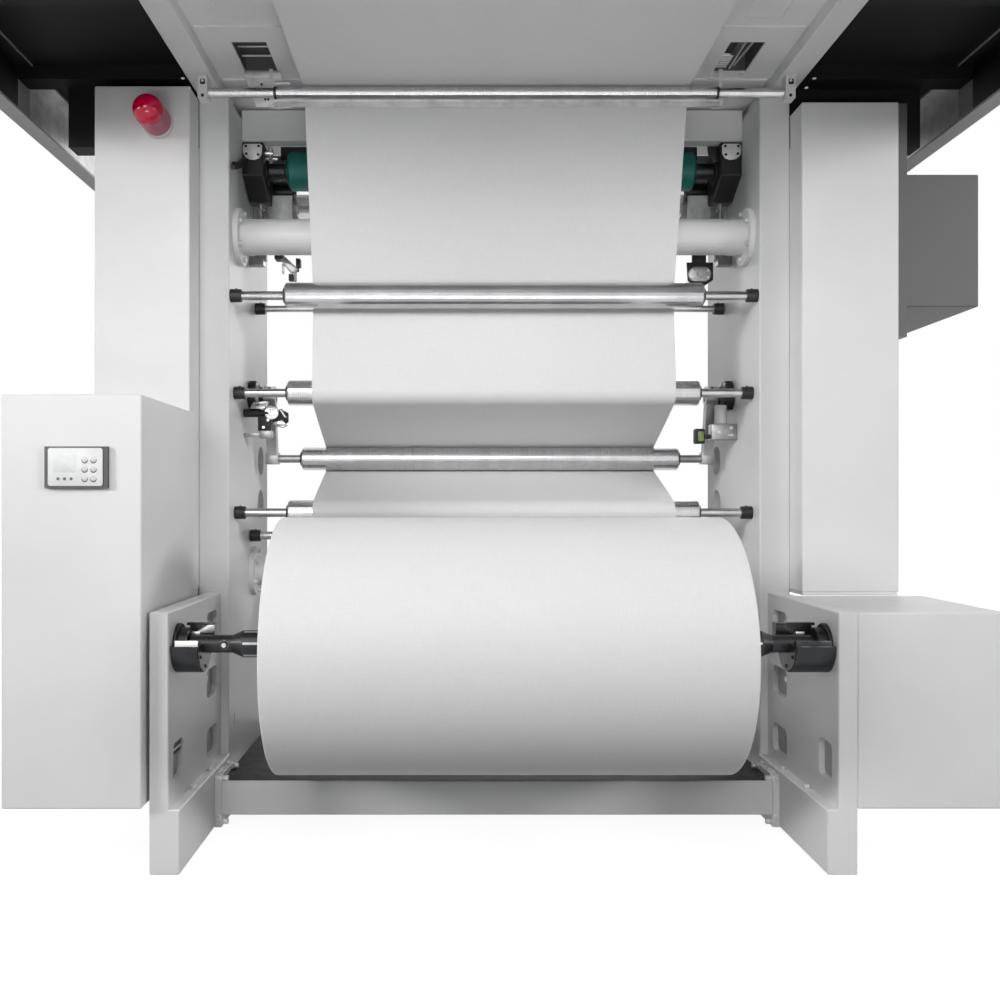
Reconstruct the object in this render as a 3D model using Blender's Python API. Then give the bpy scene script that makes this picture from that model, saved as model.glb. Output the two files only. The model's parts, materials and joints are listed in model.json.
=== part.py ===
# Reel and infeed section of a flexographic printing press, with its overhead web bridge.
# Metres. X runs across the machine, Y away from the operator, Z up.
# The origin lies on the floor, under the axis of the jumbo roll, on the machine's centre line.

import math

import bmesh
import bpy
from mathutils import Matrix, Vector

# Clearances
face_gap = 0.0003
running_gap = 0.0006
web_gap = 0.001
cut_margin = 0.010
boss_sink = 0.004
edge_bevel = 0.003

# Web and jumbo roll
web_half_width = 0.614
web_thickness = 0.0016
roll_radius = 0.356
roll_half_width = 0.6165
roll_axis_z = 0.616
core_radius = 0.048
core_growth = 0.004
roll_edge_softness = 0.006

# Air shaft
shaft_radius = 0.038
shaft_half_length = 0.756
journal_radius = 0.025
journal_end_x = 0.872
valve_radius = 0.013
valve_height = 0.006
valve_x = 0.775
shaft_cone = 0.030

# Safety chucks
chuck_radius = 0.079
chuck_inner_x = {"left": 0.834, "right": 0.800}
chuck_hub_radius = 0.046
chuck_ring_radius = 0.058
chuck_ring_depth = 0.010
chuck_ring_rim = 0.002
chuck_rim = 0.004
chuck_hub_setback = 0.006
chuck_lip_rise = 0.003
latch_y = (0.036, 0.066)
latch_height = 0.050
latch_overhang = 0.017
latch_foot = 0.012
latch_bar_width = 0.014
latch_bar_depth = 0.008

# Roll stands
stand_inner_x = 0.911
stand_outer_x = 0.964
stand_front_y = -0.090
stand_top_z = 0.714
foot_inner_x = 0.881
foot_top_z = 0.177
pocket_depth = 0.018
pocket_y = (0.310, 0.440)
pocket_height = 0.090
pocket_z = (0.252, 0.440, 0.620)
pocket_corner = 0.022
front_pocket_y = (-0.046, 0.049)
front_pocket_z = (0.240, 0.345)
front_pocket_corner = 0.018

# Side frames
frame_inner_x = 0.885
frame_thickness = 0.100
frame_front_y = 0.494
frame_back_y = 1.146
frame_top_z = 2.368
frame_hole_radius = 0.055
frame_hole_depth = 0.030
frame_hole_y = 1.017
frame_hole_z = (1.008, 1.175)
frame_slot_y = (0.570, 0.582)
frame_slot_z = (0.242, 0.294)

# Cross beam and tread plate
beam_front_y = 0.298
beam_depth = 0.100
beam_low_z = 0.036
beam_top_z = 0.143
beam_flange_thickness = 0.020
beam_flange_y = (0.290, 0.450)
beam_flange_top_z = 0.160
tread_thickness = 0.006
tread_lip = 0.045

# Covers and cabinets
cover_front_y = 0.3845
cover_back_y = 1.090
cover_low_z = 0.725
left_cover_outer_x = 1.292
left_cover_drop = 0.013
right_cover_outer_x = 1.298
right_cover_drop = 0.065
cabinet_outer_x = 1.3495
cabinet_stand_gap = 0.009
cabinet_front_y = -0.126
cabinet_z = (0.191, 1.304)
panel_x = (-1.227, -1.059)
panel_z = (1.052, 1.163)
panel_depth = 0.014
panel_rim = 0.009
panel_sink = 0.003
drive_outer_x = 1.373
drive_low_z = 0.180
drive_top_z = 0.713
blower_plate_thickness = 0.028
blower_plate_drop = 0.003
blower_plate_height = 0.752
blower_plate_rim = 0.005
blower_y = (0.394, 0.920)
blower_drop = 0.227
blower_height = 0.427

# Warning beacon
beacon_x = -1.086
beacon_drop = 0.121
beacon_radius = 0.047
beacon_body_length = 0.105
beacon_base_growth = 0.003
beacon_base_length = 0.014
beacon_dome_share = 0.95

# Web rollers
idler_radius = 0.043
top_idler_radius = 0.0205
idler_face_half = 0.700
idler_journal_radius = 0.015
socket_radius = 0.021
socket_length = 0.036
socket_bore_depth = 0.024
roller_rim_share = 0.12
top_idler_y = 0.350
top_idler_drop = 0.051
end_idler_inset = 0.146
spreader_y = 0.520
spreader_share = 0.52794
upper_idler_y = 0.573
upper_idler_share = 0.29799
lower_idler_y = 0.582
lower_idler_rise = 0.007
rear_idler_y = 0.832
rear_idler_drop = 0.080
sensor_bar_y = 0.924
sensor_bar_share = 0.55516
sensor_bar_radius = 0.0125

# Dancer
dancer_y = 0.880
dancer_share = 0.14685
dancer_pivot_y = 0.830
dancer_pivot_share = 0.30659
dancer_arm_x = (0.793, 0.831)
dancer_arm_width = 0.038
dancer_bearing_radius = 0.034
dancer_bearing_length = 0.044
dancer_arm_roundness = 0.35
dancer_weld = 0.006

# Tie tubes and top tie beam
upper_tie_y = 0.629
upper_tie_share = 0.69054
upper_tie_radius = 0.061
lower_tie_y = 0.880
lower_tie_drop = 0.212
lower_tie_radius = 0.055
tie_flange_growth = 0.0365
tie_flange_thickness = 0.018
top_tie_y = (0.680, 0.735)
top_tie_low_drop = 0.0765
top_tie_height = 0.1085

# Nip station
nip_y = 0.780
nip_drop = 0.152
nip_radius = 0.068
nip_face_half = 0.732
nip_journal_radius = 0.026
drum_radius = 0.110
drum_drop = 0.016
drum_journal_radius = 0.030
nip_housing_inner_x = 0.810
nip_housing_y = (0.690, 0.870)
nip_housing_below = 0.105
nip_housing_above = 0.074
nip_housing_shoulder = 0.062
nip_housing_tip = (0.800, 0.852)
nip_cylinder_x = 0.845
nip_cylinder_radius = 0.024
nip_cylinder_length = 0.120
nip_rod_radius = 0.009
nip_rod_end_radius = 0.0144
nip_rod_end_length = 0.020
nip_lug_drop = 0.311
nip_lug_half_width = 0.020
nip_lug_overlap = 0.012

# Overhead bridge
bridge_half_length = 1.146
bridge_beam_x = (0.906, 0.987)
bridge_beam_height = 0.100
bridge_panel_rise = 0.042
bridge_panel_thickness = 0.006
bridge_rib_depth = 0.006
bridge_rib_width = 0.060
bay_length = 0.350
bay_first_inset = 0.304
window_x = (0.705, 0.811)
window_length = 0.203
bracket_x = (0.915, 0.945)
bracket_half_depth = 0.022
bracket_low_drop = 0.0238
bracket_seat_depth = 0.022

# Walkway platforms
deck_outer_x = 1.560
deck_thickness = 0.031
girder_depth = 0.189
girder_flange = 0.057
girder_plate = 0.008
deck_bracket_y = (0.494, 0.571)
deck_bracket_inset = 0.140
deck_bracket_height = 0.239
deck_crossbar_front_y = 0.413
deck_crossbar_height = 0.047

# Worked-out places
frame_outer_x = frame_inner_x + frame_thickness
journal_reach_x = frame_inner_x - socket_length + socket_bore_depth - running_gap
roll_top_z = roll_axis_z + roll_radius
web_rise = frame_top_z - roll_top_z
top_idler_z = frame_top_z - top_idler_drop
end_idler_y = end_idler_inset - bridge_half_length
spreader_z = roll_top_z + web_rise * spreader_share
upper_idler_z = roll_top_z + web_rise * upper_idler_share
lower_idler_z = roll_top_z + lower_idler_rise
rear_idler_z = roll_top_z - rear_idler_drop
sensor_bar_z = roll_top_z + web_rise * sensor_bar_share
dancer_z = roll_top_z + web_rise * dancer_share
dancer_pivot_z = roll_top_z + web_rise * dancer_pivot_share
upper_tie_z = roll_top_z + web_rise * upper_tie_share
lower_tie_z = roll_top_z - lower_tie_drop
top_tie_low_z = frame_top_z - top_tie_low_drop
nip_z = frame_top_z - nip_drop
drum_y = nip_y + math.sqrt((nip_radius + drum_radius + web_gap) ** 2 - drum_drop ** 2)
drum_z = nip_z - drum_drop
left_cover_top_z = frame_top_z - left_cover_drop
right_cover_top_z = frame_top_z - right_cover_drop
blower_plate_outer_x = right_cover_outer_x + blower_plate_thickness
blower_plate_top_z = right_cover_top_z - blower_plate_drop
bridge_beam_top_z = frame_top_z + bridge_beam_height
bridge_panel_z = frame_top_z + bridge_panel_rise
bay_first_y = bay_first_inset - bridge_half_length
deck_underside_z = bridge_beam_top_z - deck_thickness
deck_bracket_low_z = deck_underside_z - deck_bracket_height
deck_crossbar_low_z = deck_underside_z - deck_crossbar_height
sides = {"left": -1.0, "right": 1.0}


def clear_scene():
    for leftover in list(bpy.data.objects):
        bpy.data.objects.remove(leftover, do_unlink=True)


def paint(name, colour, roughness, metallic):
    finish = bpy.data.materials.new(name)
    finish.use_nodes = True
    shader = finish.node_tree.nodes["Principled BSDF"]
    shader.inputs["Base Color"].default_value = (*colour, 1.0)
    shader.inputs["Roughness"].default_value = roughness
    shader.inputs["Metallic"].default_value = metallic
    return finish


def white_paint(name):
    return paint(name, (0.78, 0.78, 0.78), 0.45, 0.0)


def black_paint(name):
    return paint(name, (0.015, 0.015, 0.016), 0.4, 0.0)


def polished_steel(name):
    return paint(name, (0.75, 0.76, 0.77), 0.2, 1.0)


def dark_steel(name):
    return paint(name, (0.10, 0.11, 0.12), 0.35, 0.9)


def woven_fabric(name):
    return paint(name, (0.85, 0.85, 0.84), 0.6, 0.0)


def finish_object(name, shape, finish, place=(0.0, 0.0, 0.0), smooth=False):
    bmesh.ops.recalc_face_normals(shape, faces=shape.faces)
    mesh = bpy.data.meshes.new(name)
    shape.to_mesh(mesh)
    shape.free()
    if smooth:
        mesh.shade_smooth()
        mesh.set_sharp_from_angle(angle=math.radians(35.0))
    if finish is not None:
        mesh.materials.append(finish)
    thing = bpy.data.objects.new(name, mesh)
    thing.location = place
    bpy.context.scene.collection.objects.link(thing)
    return thing


def add_box(shape, low, high):
    size = [high[i] - low[i] for i in range(3)]
    centre = [(high[i] + low[i]) / 2.0 for i in range(3)]
    place = Matrix.Translation(centre) @ Matrix.Diagonal((*size, 1.0))
    return bmesh.ops.create_cube(shape, size=1.0, matrix=place)


def box(name, low, high, finish, bevel=0.0):
    shape = bmesh.new()
    add_box(shape, low, high)
    if bevel > 0.0:
        bmesh.ops.bevel(shape, geom=shape.edges[:], offset=bevel, affect="EDGES",
                        segments=1, profile=0.5)
    return finish_object(name, shape, finish)


def mirrored_span(sign, inner, outer):
    """X range of a piece given by its inner and outer distance from the centre line."""
    ends = sorted((sign * inner, sign * outer))
    return ends[0], ends[1]


def add_prism(shape, outline, low, high, axis="x"):
    """Extrudes a closed outline along an axis. The outline holds the other two coordinates."""
    def corner(a, b):
        if axis == "x":
            return (low, a, b)
        if axis == "y":
            return (a, low, b)
        return (a, b, low)

    corners = [shape.verts.new(corner(a, b)) for a, b in outline]
    face = shape.faces.new(corners)
    push = {"x": Vector((high - low, 0, 0)), "y": Vector((0, high - low, 0)),
            "z": Vector((0, 0, high - low))}[axis]
    grown = bmesh.ops.extrude_face_region(shape, geom=[face])
    moved = [item for item in grown["geom"] if isinstance(item, bmesh.types.BMVert)]
    bmesh.ops.translate(shape, verts=moved, vec=push)


def prism(name, outline, low, high, finish, axis="x", bevel=0.0):
    shape = bmesh.new()
    add_prism(shape, outline, low, high, axis)
    if bevel > 0.0:
        bmesh.ops.recalc_face_normals(shape, faces=shape.faces)
        outer_edges = [edge for edge in shape.edges if edge.is_convex]
        bmesh.ops.bevel(shape, geom=outer_edges, offset=bevel, affect="EDGES",
                        segments=1, profile=0.5)
    return finish_object(name, shape, finish)


def add_turned(shape, profile, centre, steps, closed=False, axis="x"):
    """Spins a profile of (along, radius) points about an axis through the centre."""
    direction = Vector((1, 0, 0)) if axis == "x" else Vector((0, 1, 0))
    if axis == "z":
        direction = Vector((0, 0, 1))
    side = Vector((0, 0, 1)) if axis != "z" else Vector((1, 0, 0))
    middle = Vector(centre)
    ring = [shape.verts.new(middle + direction * along + side * radius)
            for along, radius in profile]
    links = [shape.edges.new((ring[i], ring[i + 1])) for i in range(len(ring) - 1)]
    if closed:
        links.append(shape.edges.new((ring[-1], ring[0])))
    bmesh.ops.spin(shape, geom=ring + links, cent=middle, axis=direction,
                   angle=math.tau, steps=steps, use_merge=True)
    bmesh.ops.remove_doubles(shape, verts=shape.verts[:], dist=0.00002)


def turned(name, profile, place, steps, finish, closed=False, axis="x"):
    shape = bmesh.new()
    add_turned(shape, profile, (0.0, 0.0, 0.0), steps, closed, axis)
    return finish_object(name, shape, finish, place, smooth=True)


def cutter(name, shape):
    tool = finish_object(name, shape, None)
    tool.hide_render = True
    tool.display_type = "WIRE"
    return tool


def combine(thing, tool, operation):
    step = thing.modifiers.new(tool.name, "BOOLEAN")
    step.operation = operation
    step.solver = "EXACT"
    step.object = tool


def cylinder_profile(start, end, radius):
    return [(start, 0.0), (start, radius), (end, radius), (end, 0.0)]


def cup_profile(root, tip, bore_bottom, outer, bore):
    """Profile of a boss with a blind bore in its tip."""
    return [(bore_bottom, 0.0), (bore_bottom, bore), (tip, bore), (tip, outer), (root, outer),
            (root, 0.0)]


def rounded_rectangle(low, high, radius, corner_steps=3):
    """Outline of a rectangle with round corners, as points in order."""
    centres = [(high[0] - radius, high[1] - radius, 0.0),
               (low[0] + radius, high[1] - radius, 90.0),
               (low[0] + radius, low[1] + radius, 180.0),
               (high[0] - radius, low[1] + radius, 270.0)]
    points = []
    for centre_a, centre_b, start in centres:
        for step in range(corner_steps + 1):
            turn = math.radians(start + 90.0 * step / corner_steps)
            points.append((centre_a + radius * math.cos(turn), centre_b + radius * math.sin(turn)))
    return points


def make_side_frame(side, sign):
    """Side frame: thick plate with roller sockets, dancer bearing and machined recesses."""
    finish = white_paint(side + "_side_frame_paint")
    low_x, high_x = mirrored_span(sign, frame_inner_x, frame_outer_x)
    frame = box(side + "_side_frame", (low_x, frame_front_y, 0.0),
                (high_x, frame_back_y, frame_top_z), finish, edge_bevel)

    sockets = bmesh.new()
    root_x = sign * (frame_inner_x + boss_sink)
    seats = [(spreader_y, spreader_z), (upper_idler_y, upper_idler_z),
             (lower_idler_y, lower_idler_z), (rear_idler_y, rear_idler_z),
             (sensor_bar_y, sensor_bar_z)]
    bore = idler_journal_radius + running_gap
    tip_x = sign * (frame_inner_x - socket_length)
    profile = cup_profile(root_x, tip_x, tip_x + sign * socket_bore_depth, socket_radius, bore)
    for seat_y, seat_z in seats:
        add_turned(sockets, profile, (0, seat_y, seat_z), 16)
    tip_x = sign * (frame_inner_x - dancer_bearing_length)
    profile = cup_profile(root_x, tip_x, tip_x + sign * socket_bore_depth, dancer_bearing_radius, bore)
    add_turned(sockets, profile, (0, dancer_pivot_y, dancer_pivot_z), 24)
    combine(frame, cutter(side + "_socket_bosses", sockets), "UNION")

    recesses = bmesh.new()
    mouth = sign * (frame_inner_x - cut_margin)
    bottom = sign * (frame_inner_x + socket_bore_depth)
    add_turned(recesses, cylinder_profile(mouth, bottom, drum_journal_radius + running_gap),
               (0, drum_y, drum_z), 24)
    bottom = sign * (frame_inner_x + frame_hole_depth)
    for hole_z in frame_hole_z:
        add_turned(recesses, cylinder_profile(mouth, bottom, frame_hole_radius),
                   (0, frame_hole_y, hole_z), 28)
    slot_low, slot_high = sorted((mouth, bottom))
    add_box(recesses, (slot_low, frame_slot_y[0], frame_slot_z[0]),
            (slot_high, frame_slot_y[1], frame_slot_z[1]))
    combine(frame, cutter(side + "_frame_recesses", recesses), "DIFFERENCE")


def make_roll_stand(side, sign):
    """Roll stand: upright cheek on a thicker foot, with bolt pockets and the chuck's hole."""
    finish = white_paint(side + "_roll_stand_paint")
    back_y = frame_front_y - face_gap
    outline = [(sign * foot_inner_x, 0.0), (sign * stand_outer_x, 0.0),
               (sign * stand_outer_x, stand_top_z), (sign * stand_inner_x, stand_top_z),
               (sign * stand_inner_x, foot_top_z), (sign * foot_inner_x, foot_top_z)]
    stand = prism(side + "_roll_stand", outline, stand_front_y, back_y, finish, "y", edge_bevel)

    pockets = bmesh.new()
    low_x, high_x = mirrored_span(sign, stand_inner_x - cut_margin, stand_inner_x + pocket_depth)
    for level in pocket_z:
        low = (pocket_y[0], level - pocket_height / 2.0)
        high = (pocket_y[1], level + pocket_height / 2.0)
        add_prism(pockets, rounded_rectangle(low, high, pocket_corner), low_x, high_x)
    add_prism(pockets, rounded_rectangle((front_pocket_y[0], front_pocket_z[0]),
                                         (front_pocket_y[1], front_pocket_z[1]),
                                         front_pocket_corner), low_x, high_x)
    far_x = sign * (stand_outer_x + cut_margin)
    add_turned(pockets, cylinder_profile(sign * (stand_inner_x - cut_margin), far_x,
                                         chuck_hub_radius + running_gap),
               (0, 0, roll_axis_z), 28)
    combine(stand, cutter(side + "_stand_pockets", pockets), "DIFFERENCE")


def make_cross_beam():
    """Front cross beam with a bolted flange at each end."""
    finish = white_paint("cross_beam_paint")
    reach = foot_inner_x - face_gap
    beam = box("front_cross_beam", (-reach, beam_front_y, beam_low_z),
               (reach, beam_front_y + beam_depth, beam_top_z), finish, edge_bevel)
    flanges = bmesh.new()
    for sign in sides.values():
        low_x, high_x = mirrored_span(sign, reach - beam_flange_thickness, reach)
        add_box(flanges, (low_x, beam_flange_y[0], 0.0),
                (high_x, beam_flange_y[1], beam_flange_top_z))
    combine(beam, cutter("cross_beam_flanges", flanges), "UNION")


def make_tread_plate():
    """Tread plate between the frames, with its rear edge folded down."""
    finish = black_paint("tread_plate_paint")
    reach = foot_inner_x - beam_flange_thickness - 2.0 * face_gap
    front_y = beam_front_y + beam_depth + face_gap
    back_y = frame_back_y
    low_z = beam_top_z - tread_thickness
    outline = [(front_y, beam_top_z), (front_y, low_z - tread_lip),
               (front_y + tread_thickness, low_z - tread_lip), (front_y + tread_thickness, low_z),
               (back_y - tread_thickness, low_z), (back_y - tread_thickness, 0.0),
               (back_y, 0.0), (back_y, beam_top_z)]
    prism("tread_plate", outline, -reach, reach, finish)


def notched_outline(span_y, span_z):
    """Upright rectangle in the Y-Z plane, cut away from its top edge round the deck bracket."""
    notch_low = deck_bracket_low_z - face_gap
    notch_front = deck_bracket_y[0] - face_gap
    notch_back = deck_bracket_y[1] + face_gap
    return [(span_y[0], span_z[0]), (span_y[1], span_z[0]), (span_y[1], span_z[1]),
            (notch_back, span_z[1]), (notch_back, notch_low), (notch_front, notch_low),
            (notch_front, span_z[1]), (span_y[0], span_z[1])]


def make_frame_cover(side, sign, outer_x, top_z):
    """Housing outside a side frame, notched over the walkway's bracket."""
    finish = white_paint(side + "_frame_cover_paint")
    outline = notched_outline((cover_front_y, cover_back_y), (cover_low_z, top_z))
    low_x, high_x = mirrored_span(sign, frame_outer_x + face_gap, outer_x)
    prism(side + "_frame_cover", outline, low_x, high_x, finish, bevel=edge_bevel)


def make_control_cabinet():
    finish = white_paint("control_cabinet_paint")
    inner_x = stand_outer_x + cabinet_stand_gap
    box("control_cabinet", (-cabinet_outer_x, cabinet_front_y, cabinet_z[0]),
        (-inner_x, cover_front_y - face_gap, cabinet_z[1]), finish, edge_bevel)


def make_control_panel():
    """Control panel: bezel with a sunk face."""
    finish = paint("panel_plastic", (0.10, 0.10, 0.10), 0.45, 0.0)
    back_y = cabinet_front_y - face_gap
    front_y = back_y - panel_depth
    panel = box("control_panel", (panel_x[0], front_y, panel_z[0]),
                (panel_x[1], back_y, panel_z[1]), finish)
    sunk = bmesh.new()
    add_box(sunk, (panel_x[0] + panel_rim, front_y - cut_margin, panel_z[0] + panel_rim),
            (panel_x[1] - panel_rim, front_y + panel_sink, panel_z[1] - panel_rim))
    combine(panel, cutter("panel_face_recess", sunk), "DIFFERENCE")


def make_drive_housing():
    finish = white_paint("drive_housing_paint")
    box("drive_housing", (stand_outer_x + face_gap, stand_front_y, drive_low_z),
        (drive_outer_x, cover_front_y - face_gap, drive_top_z), finish, edge_bevel)


def make_blower_box():
    """Blower box on its mounting plate, beside the right cover."""
    finish = paint("blower_box_paint", (0.11, 0.11, 0.11), 0.5, 0.0)
    plate_inner_x = right_cover_outer_x + face_gap
    top_z = blower_plate_top_z - blower_drop
    blower = box("blower_box", (blower_plate_outer_x - boss_sink, blower_y[0], top_z - blower_height),
                 (deck_outer_x, blower_y[1], top_z), finish, edge_bevel)
    plate = bmesh.new()
    span_y = (blower_y[0] - blower_plate_rim, blower_y[1] + blower_plate_rim)
    span_z = (blower_plate_top_z - blower_plate_height, blower_plate_top_z)
    outline = notched_outline(span_y, span_z)
    add_prism(plate, outline, plate_inner_x, blower_plate_outer_x)
    combine(blower, cutter("blower_plate", plate), "UNION")


def make_beacon():
    """Warning beacon: base ring, ribbed lamp body and dome, pointing at the operator."""
    finish = paint("beacon_red", (0.60, 0.0, 0.03), 0.15, 0.0)
    base_radius = beacon_radius + beacon_base_growth
    profile = [(0.0, 0.0), (0.0, base_radius), (-beacon_base_length, base_radius),
               (-beacon_base_length - beacon_base_growth, beacon_radius),
               (-beacon_body_length, beacon_radius)]
    dome_steps = 7
    dome_height = beacon_radius * beacon_dome_share
    for step in range(1, dome_steps):
        turn = math.radians(90.0 * step / dome_steps)
        profile.append((-beacon_body_length - dome_height * math.sin(turn),
                        beacon_radius * math.cos(turn)))
    profile.append((-beacon_body_length - dome_height, 0.0))
    place = (beacon_x, cover_front_y - face_gap, left_cover_top_z - beacon_drop)
    turned("warning_beacon", profile, place, 28, finish, axis="y")


def make_tie_tube(name, place_y, place_z, radius):
    """Tie tube between the side frames, with a flange at each end."""
    reach = frame_inner_x - face_gap
    flange_radius = radius + tie_flange_growth
    shoulder = reach - tie_flange_thickness
    profile = [(-reach, 0.0), (-reach, flange_radius), (-shoulder, flange_radius),
               (-shoulder, radius), (shoulder, radius), (shoulder, flange_radius),
               (reach, flange_radius), (reach, 0.0)]
    turned(name, profile, (0.0, place_y, place_z), 32, white_paint(name + "_paint"))


def make_top_tie():
    finish = white_paint("top_tie_paint")
    reach = frame_inner_x - face_gap
    box("top_tie_beam", (-reach, top_tie_y[0], top_tie_low_z),
        (reach, top_tie_y[1], top_tie_low_z + top_tie_height), finish, edge_bevel)


def roller_profile(face_half, radius, journal, reach):
    """Roller face with chamfered rims and a journal at each end."""
    rim = radius * roller_rim_share
    half = [(face_half - rim, radius), (face_half, radius - rim), (face_half, journal),
            (reach, journal), (reach, 0.0)]
    return [(-along, across) for along, across in reversed(half)] + half


def make_idler(name, place_y, place_z, radius=idler_radius, reach=journal_reach_x):
    profile = roller_profile(idler_face_half, radius, idler_journal_radius, reach)
    return turned(name, profile, (0.0, place_y, place_z), 28, polished_steel(name + "_metal"))


def make_sensor_bar():
    """Fixed bar that carries the web's edge sensor."""
    finish = polished_steel("sensor_bar_metal")
    profile = cylinder_profile(-journal_reach_x, journal_reach_x, sensor_bar_radius)
    turned("sensor_bar", profile, (0.0, sensor_bar_y, sensor_bar_z), 20, finish)


def make_dancer_arms():
    """Dancer: two arms on pivot stubs, tied by the dead shaft that carries the roller."""
    finish = paint("dancer_arm_metal", (0.62, 0.62, 0.63), 0.35, 0.9)
    reach = frame_inner_x - dancer_bearing_length + socket_bore_depth - running_gap
    arms = bmesh.new()
    shaft_end = dancer_arm_x[0] + dancer_weld
    shaft = cylinder_profile(-shaft_end, shaft_end, idler_journal_radius)
    drop = Vector((0.0, dancer_y - dancer_pivot_y, dancer_z - dancer_pivot_z))
    add_turned(arms, shaft, drop, 20)
    frame = finish_object("dancer_arms", arms, finish,
                          (0.0, dancer_pivot_y, dancer_pivot_z), smooth=True)
    length = math.hypot(drop.y, drop.z)
    lean = math.atan2(drop.y, -drop.z)
    half = dancer_arm_width / 2.0
    bars = bmesh.new()
    stubs = bmesh.new()
    for sign in sides.values():
        low_x, high_x = mirrored_span(sign, dancer_arm_x[0], dancer_arm_x[1])
        outline = rounded_rectangle((-half, -length - half), (half, half),
                                    half * dancer_arm_roundness)
        add_prism(bars, outline, low_x, high_x)
        stub_root = sign * (dancer_arm_x[1] - dancer_weld)
        stub = cylinder_profile(stub_root, sign * reach, idler_journal_radius)
        add_turned(stubs, stub, (0.0, dancer_pivot_y, dancer_pivot_z), 20)
    bmesh.ops.rotate(bars, verts=bars.verts[:], cent=(0, 0, 0),
                     matrix=Matrix.Rotation(lean, 3, "X"))
    bmesh.ops.translate(bars, verts=bars.verts[:], vec=(0, dancer_pivot_y, dancer_pivot_z))
    combine(frame, cutter("dancer_arm_bars", bars), "UNION")
    combine(frame, cutter("dancer_arm_stubs", stubs), "UNION")


def make_dancer_roller():
    """Dancer roller: a tube that turns on the arms' shaft."""
    bore = idler_journal_radius + running_gap
    rim = idler_radius * roller_rim_share
    end = idler_face_half
    profile = [(-end, bore), (-end, idler_radius - rim), (-end + rim, idler_radius),
               (end - rim, idler_radius), (end, idler_radius - rim), (end, bore)]
    turned("dancer_roller", profile, (0.0, dancer_y, dancer_z), 32,
           polished_steel("dancer_roller_metal"), closed=True)


def make_nip_housing(side, sign):
    """Bearing housing of the nip roller, tapering down to a blunt tip on its rear side."""
    finish = black_paint(side + "_nip_housing_paint")
    low_y, high_y = nip_housing_y
    low_z = nip_z - nip_housing_below
    high_z = nip_z + nip_housing_above
    shoulder_z = low_z + nip_housing_shoulder
    outline = [(nip_housing_tip[0], low_z), (nip_housing_tip[1], low_z), (high_y, shoulder_z),
               (high_y, high_z), (low_y, high_z), (low_y, shoulder_z)]
    low_x, high_x = mirrored_span(sign, nip_housing_inner_x, frame_inner_x - face_gap)
    housing = prism(side + "_nip_housing", outline, low_x, high_x, finish, bevel=edge_bevel)
    bore = bmesh.new()
    mouth = sign * (nip_housing_inner_x - cut_margin)
    bottom = sign * (nip_housing_inner_x + socket_bore_depth)
    add_turned(bore, cylinder_profile(mouth, bottom, nip_journal_radius + running_gap),
               (0, nip_y, nip_z), 24)
    combine(housing, cutter(side + "_nip_bore", bore), "DIFFERENCE")


def make_nip_cylinder(side, sign):
    """Air cylinder between a lug on the side frame and the underside of the nip housing."""
    finish = paint(side + "_nip_cylinder_metal", (0.7, 0.7, 0.7), 0.3, 0.8)
    top = nip_z - nip_housing_below - face_gap
    lug_z = nip_z - nip_lug_drop
    barrel_top = lug_z + nip_cylinder_length
    profile = [(lug_z, 0.0), (lug_z, nip_cylinder_radius),
               (barrel_top, nip_cylinder_radius), (barrel_top, nip_rod_radius),
               (top - nip_rod_end_length, nip_rod_radius),
               (top - nip_rod_end_length, nip_rod_end_radius),
               (top, nip_rod_end_radius), (top, 0.0)]
    place_x = sign * nip_cylinder_x
    place_y = sum(nip_housing_tip) / 2.0
    cylinder = turned(side + "_nip_cylinder", profile, (place_x, place_y, 0.0), 20, finish, axis="z")
    lug = bmesh.new()
    low_x, high_x = mirrored_span(sign, nip_cylinder_x - nip_lug_overlap, frame_inner_x - face_gap)
    add_box(lug, (low_x, place_y - nip_lug_half_width, lug_z - nip_lug_half_width),
            (high_x, place_y + nip_lug_half_width, lug_z + nip_lug_overlap))
    combine(cylinder, cutter(side + "_cylinder_lug", lug), "UNION")


def make_nip_roller():
    reach = nip_housing_inner_x + socket_bore_depth - running_gap
    profile = roller_profile(nip_face_half, nip_radius, nip_journal_radius, reach)
    turned("nip_roller", profile, (0.0, nip_y, nip_z), 40,
           paint("nip_rubber", (0.012, 0.15, 0.115), 0.55, 0.0))


def make_pull_drum():
    reach = frame_inner_x + socket_bore_depth - running_gap
    profile = roller_profile(nip_face_half, drum_radius, drum_journal_radius, reach)
    turned("pull_drum", profile, (0.0, drum_y, drum_z), 48, polished_steel("pull_drum_metal"))


def make_jumbo_roll():
    """Jumbo roll of woven sheet wound on a core, with softly rounded edges."""
    soft = roll_edge_softness
    bore = shaft_radius + face_gap
    end = roll_half_width
    core_end = end + core_growth
    profile = [(-core_end, bore), (-core_end, core_radius), (-end, core_radius),
               (-end, roll_radius - soft), (-end + soft, roll_radius),
               (end - soft, roll_radius), (end, roll_radius - soft),
               (end, core_radius), (core_end, core_radius), (core_end, bore)]
    turned("jumbo_roll", profile, (0.0, 0.0, roll_axis_z), 72, woven_fabric("roll_fabric"),
           closed=True)


def make_air_shaft():
    """Air shaft: body through the core, a cone and a journal at each end, valve on the left."""
    half = [(shaft_half_length - shaft_cone, shaft_radius), (shaft_half_length, journal_radius),
            (journal_end_x, journal_radius), (journal_end_x, 0.0)]
    profile = [(-along, across) for along, across in reversed(half)] + half
    shaft = turned("air_shaft", profile, (0.0, 0.0, roll_axis_z), 32, dark_steel("air_shaft_metal"))
    valve = bmesh.new()
    add_turned(valve, cylinder_profile(-journal_radius - valve_height, 0.0, valve_radius),
               (-valve_x, 0.0, roll_axis_z), 16, axis="y")
    combine(shaft, cutter("air_valve", valve), "UNION")


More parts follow.
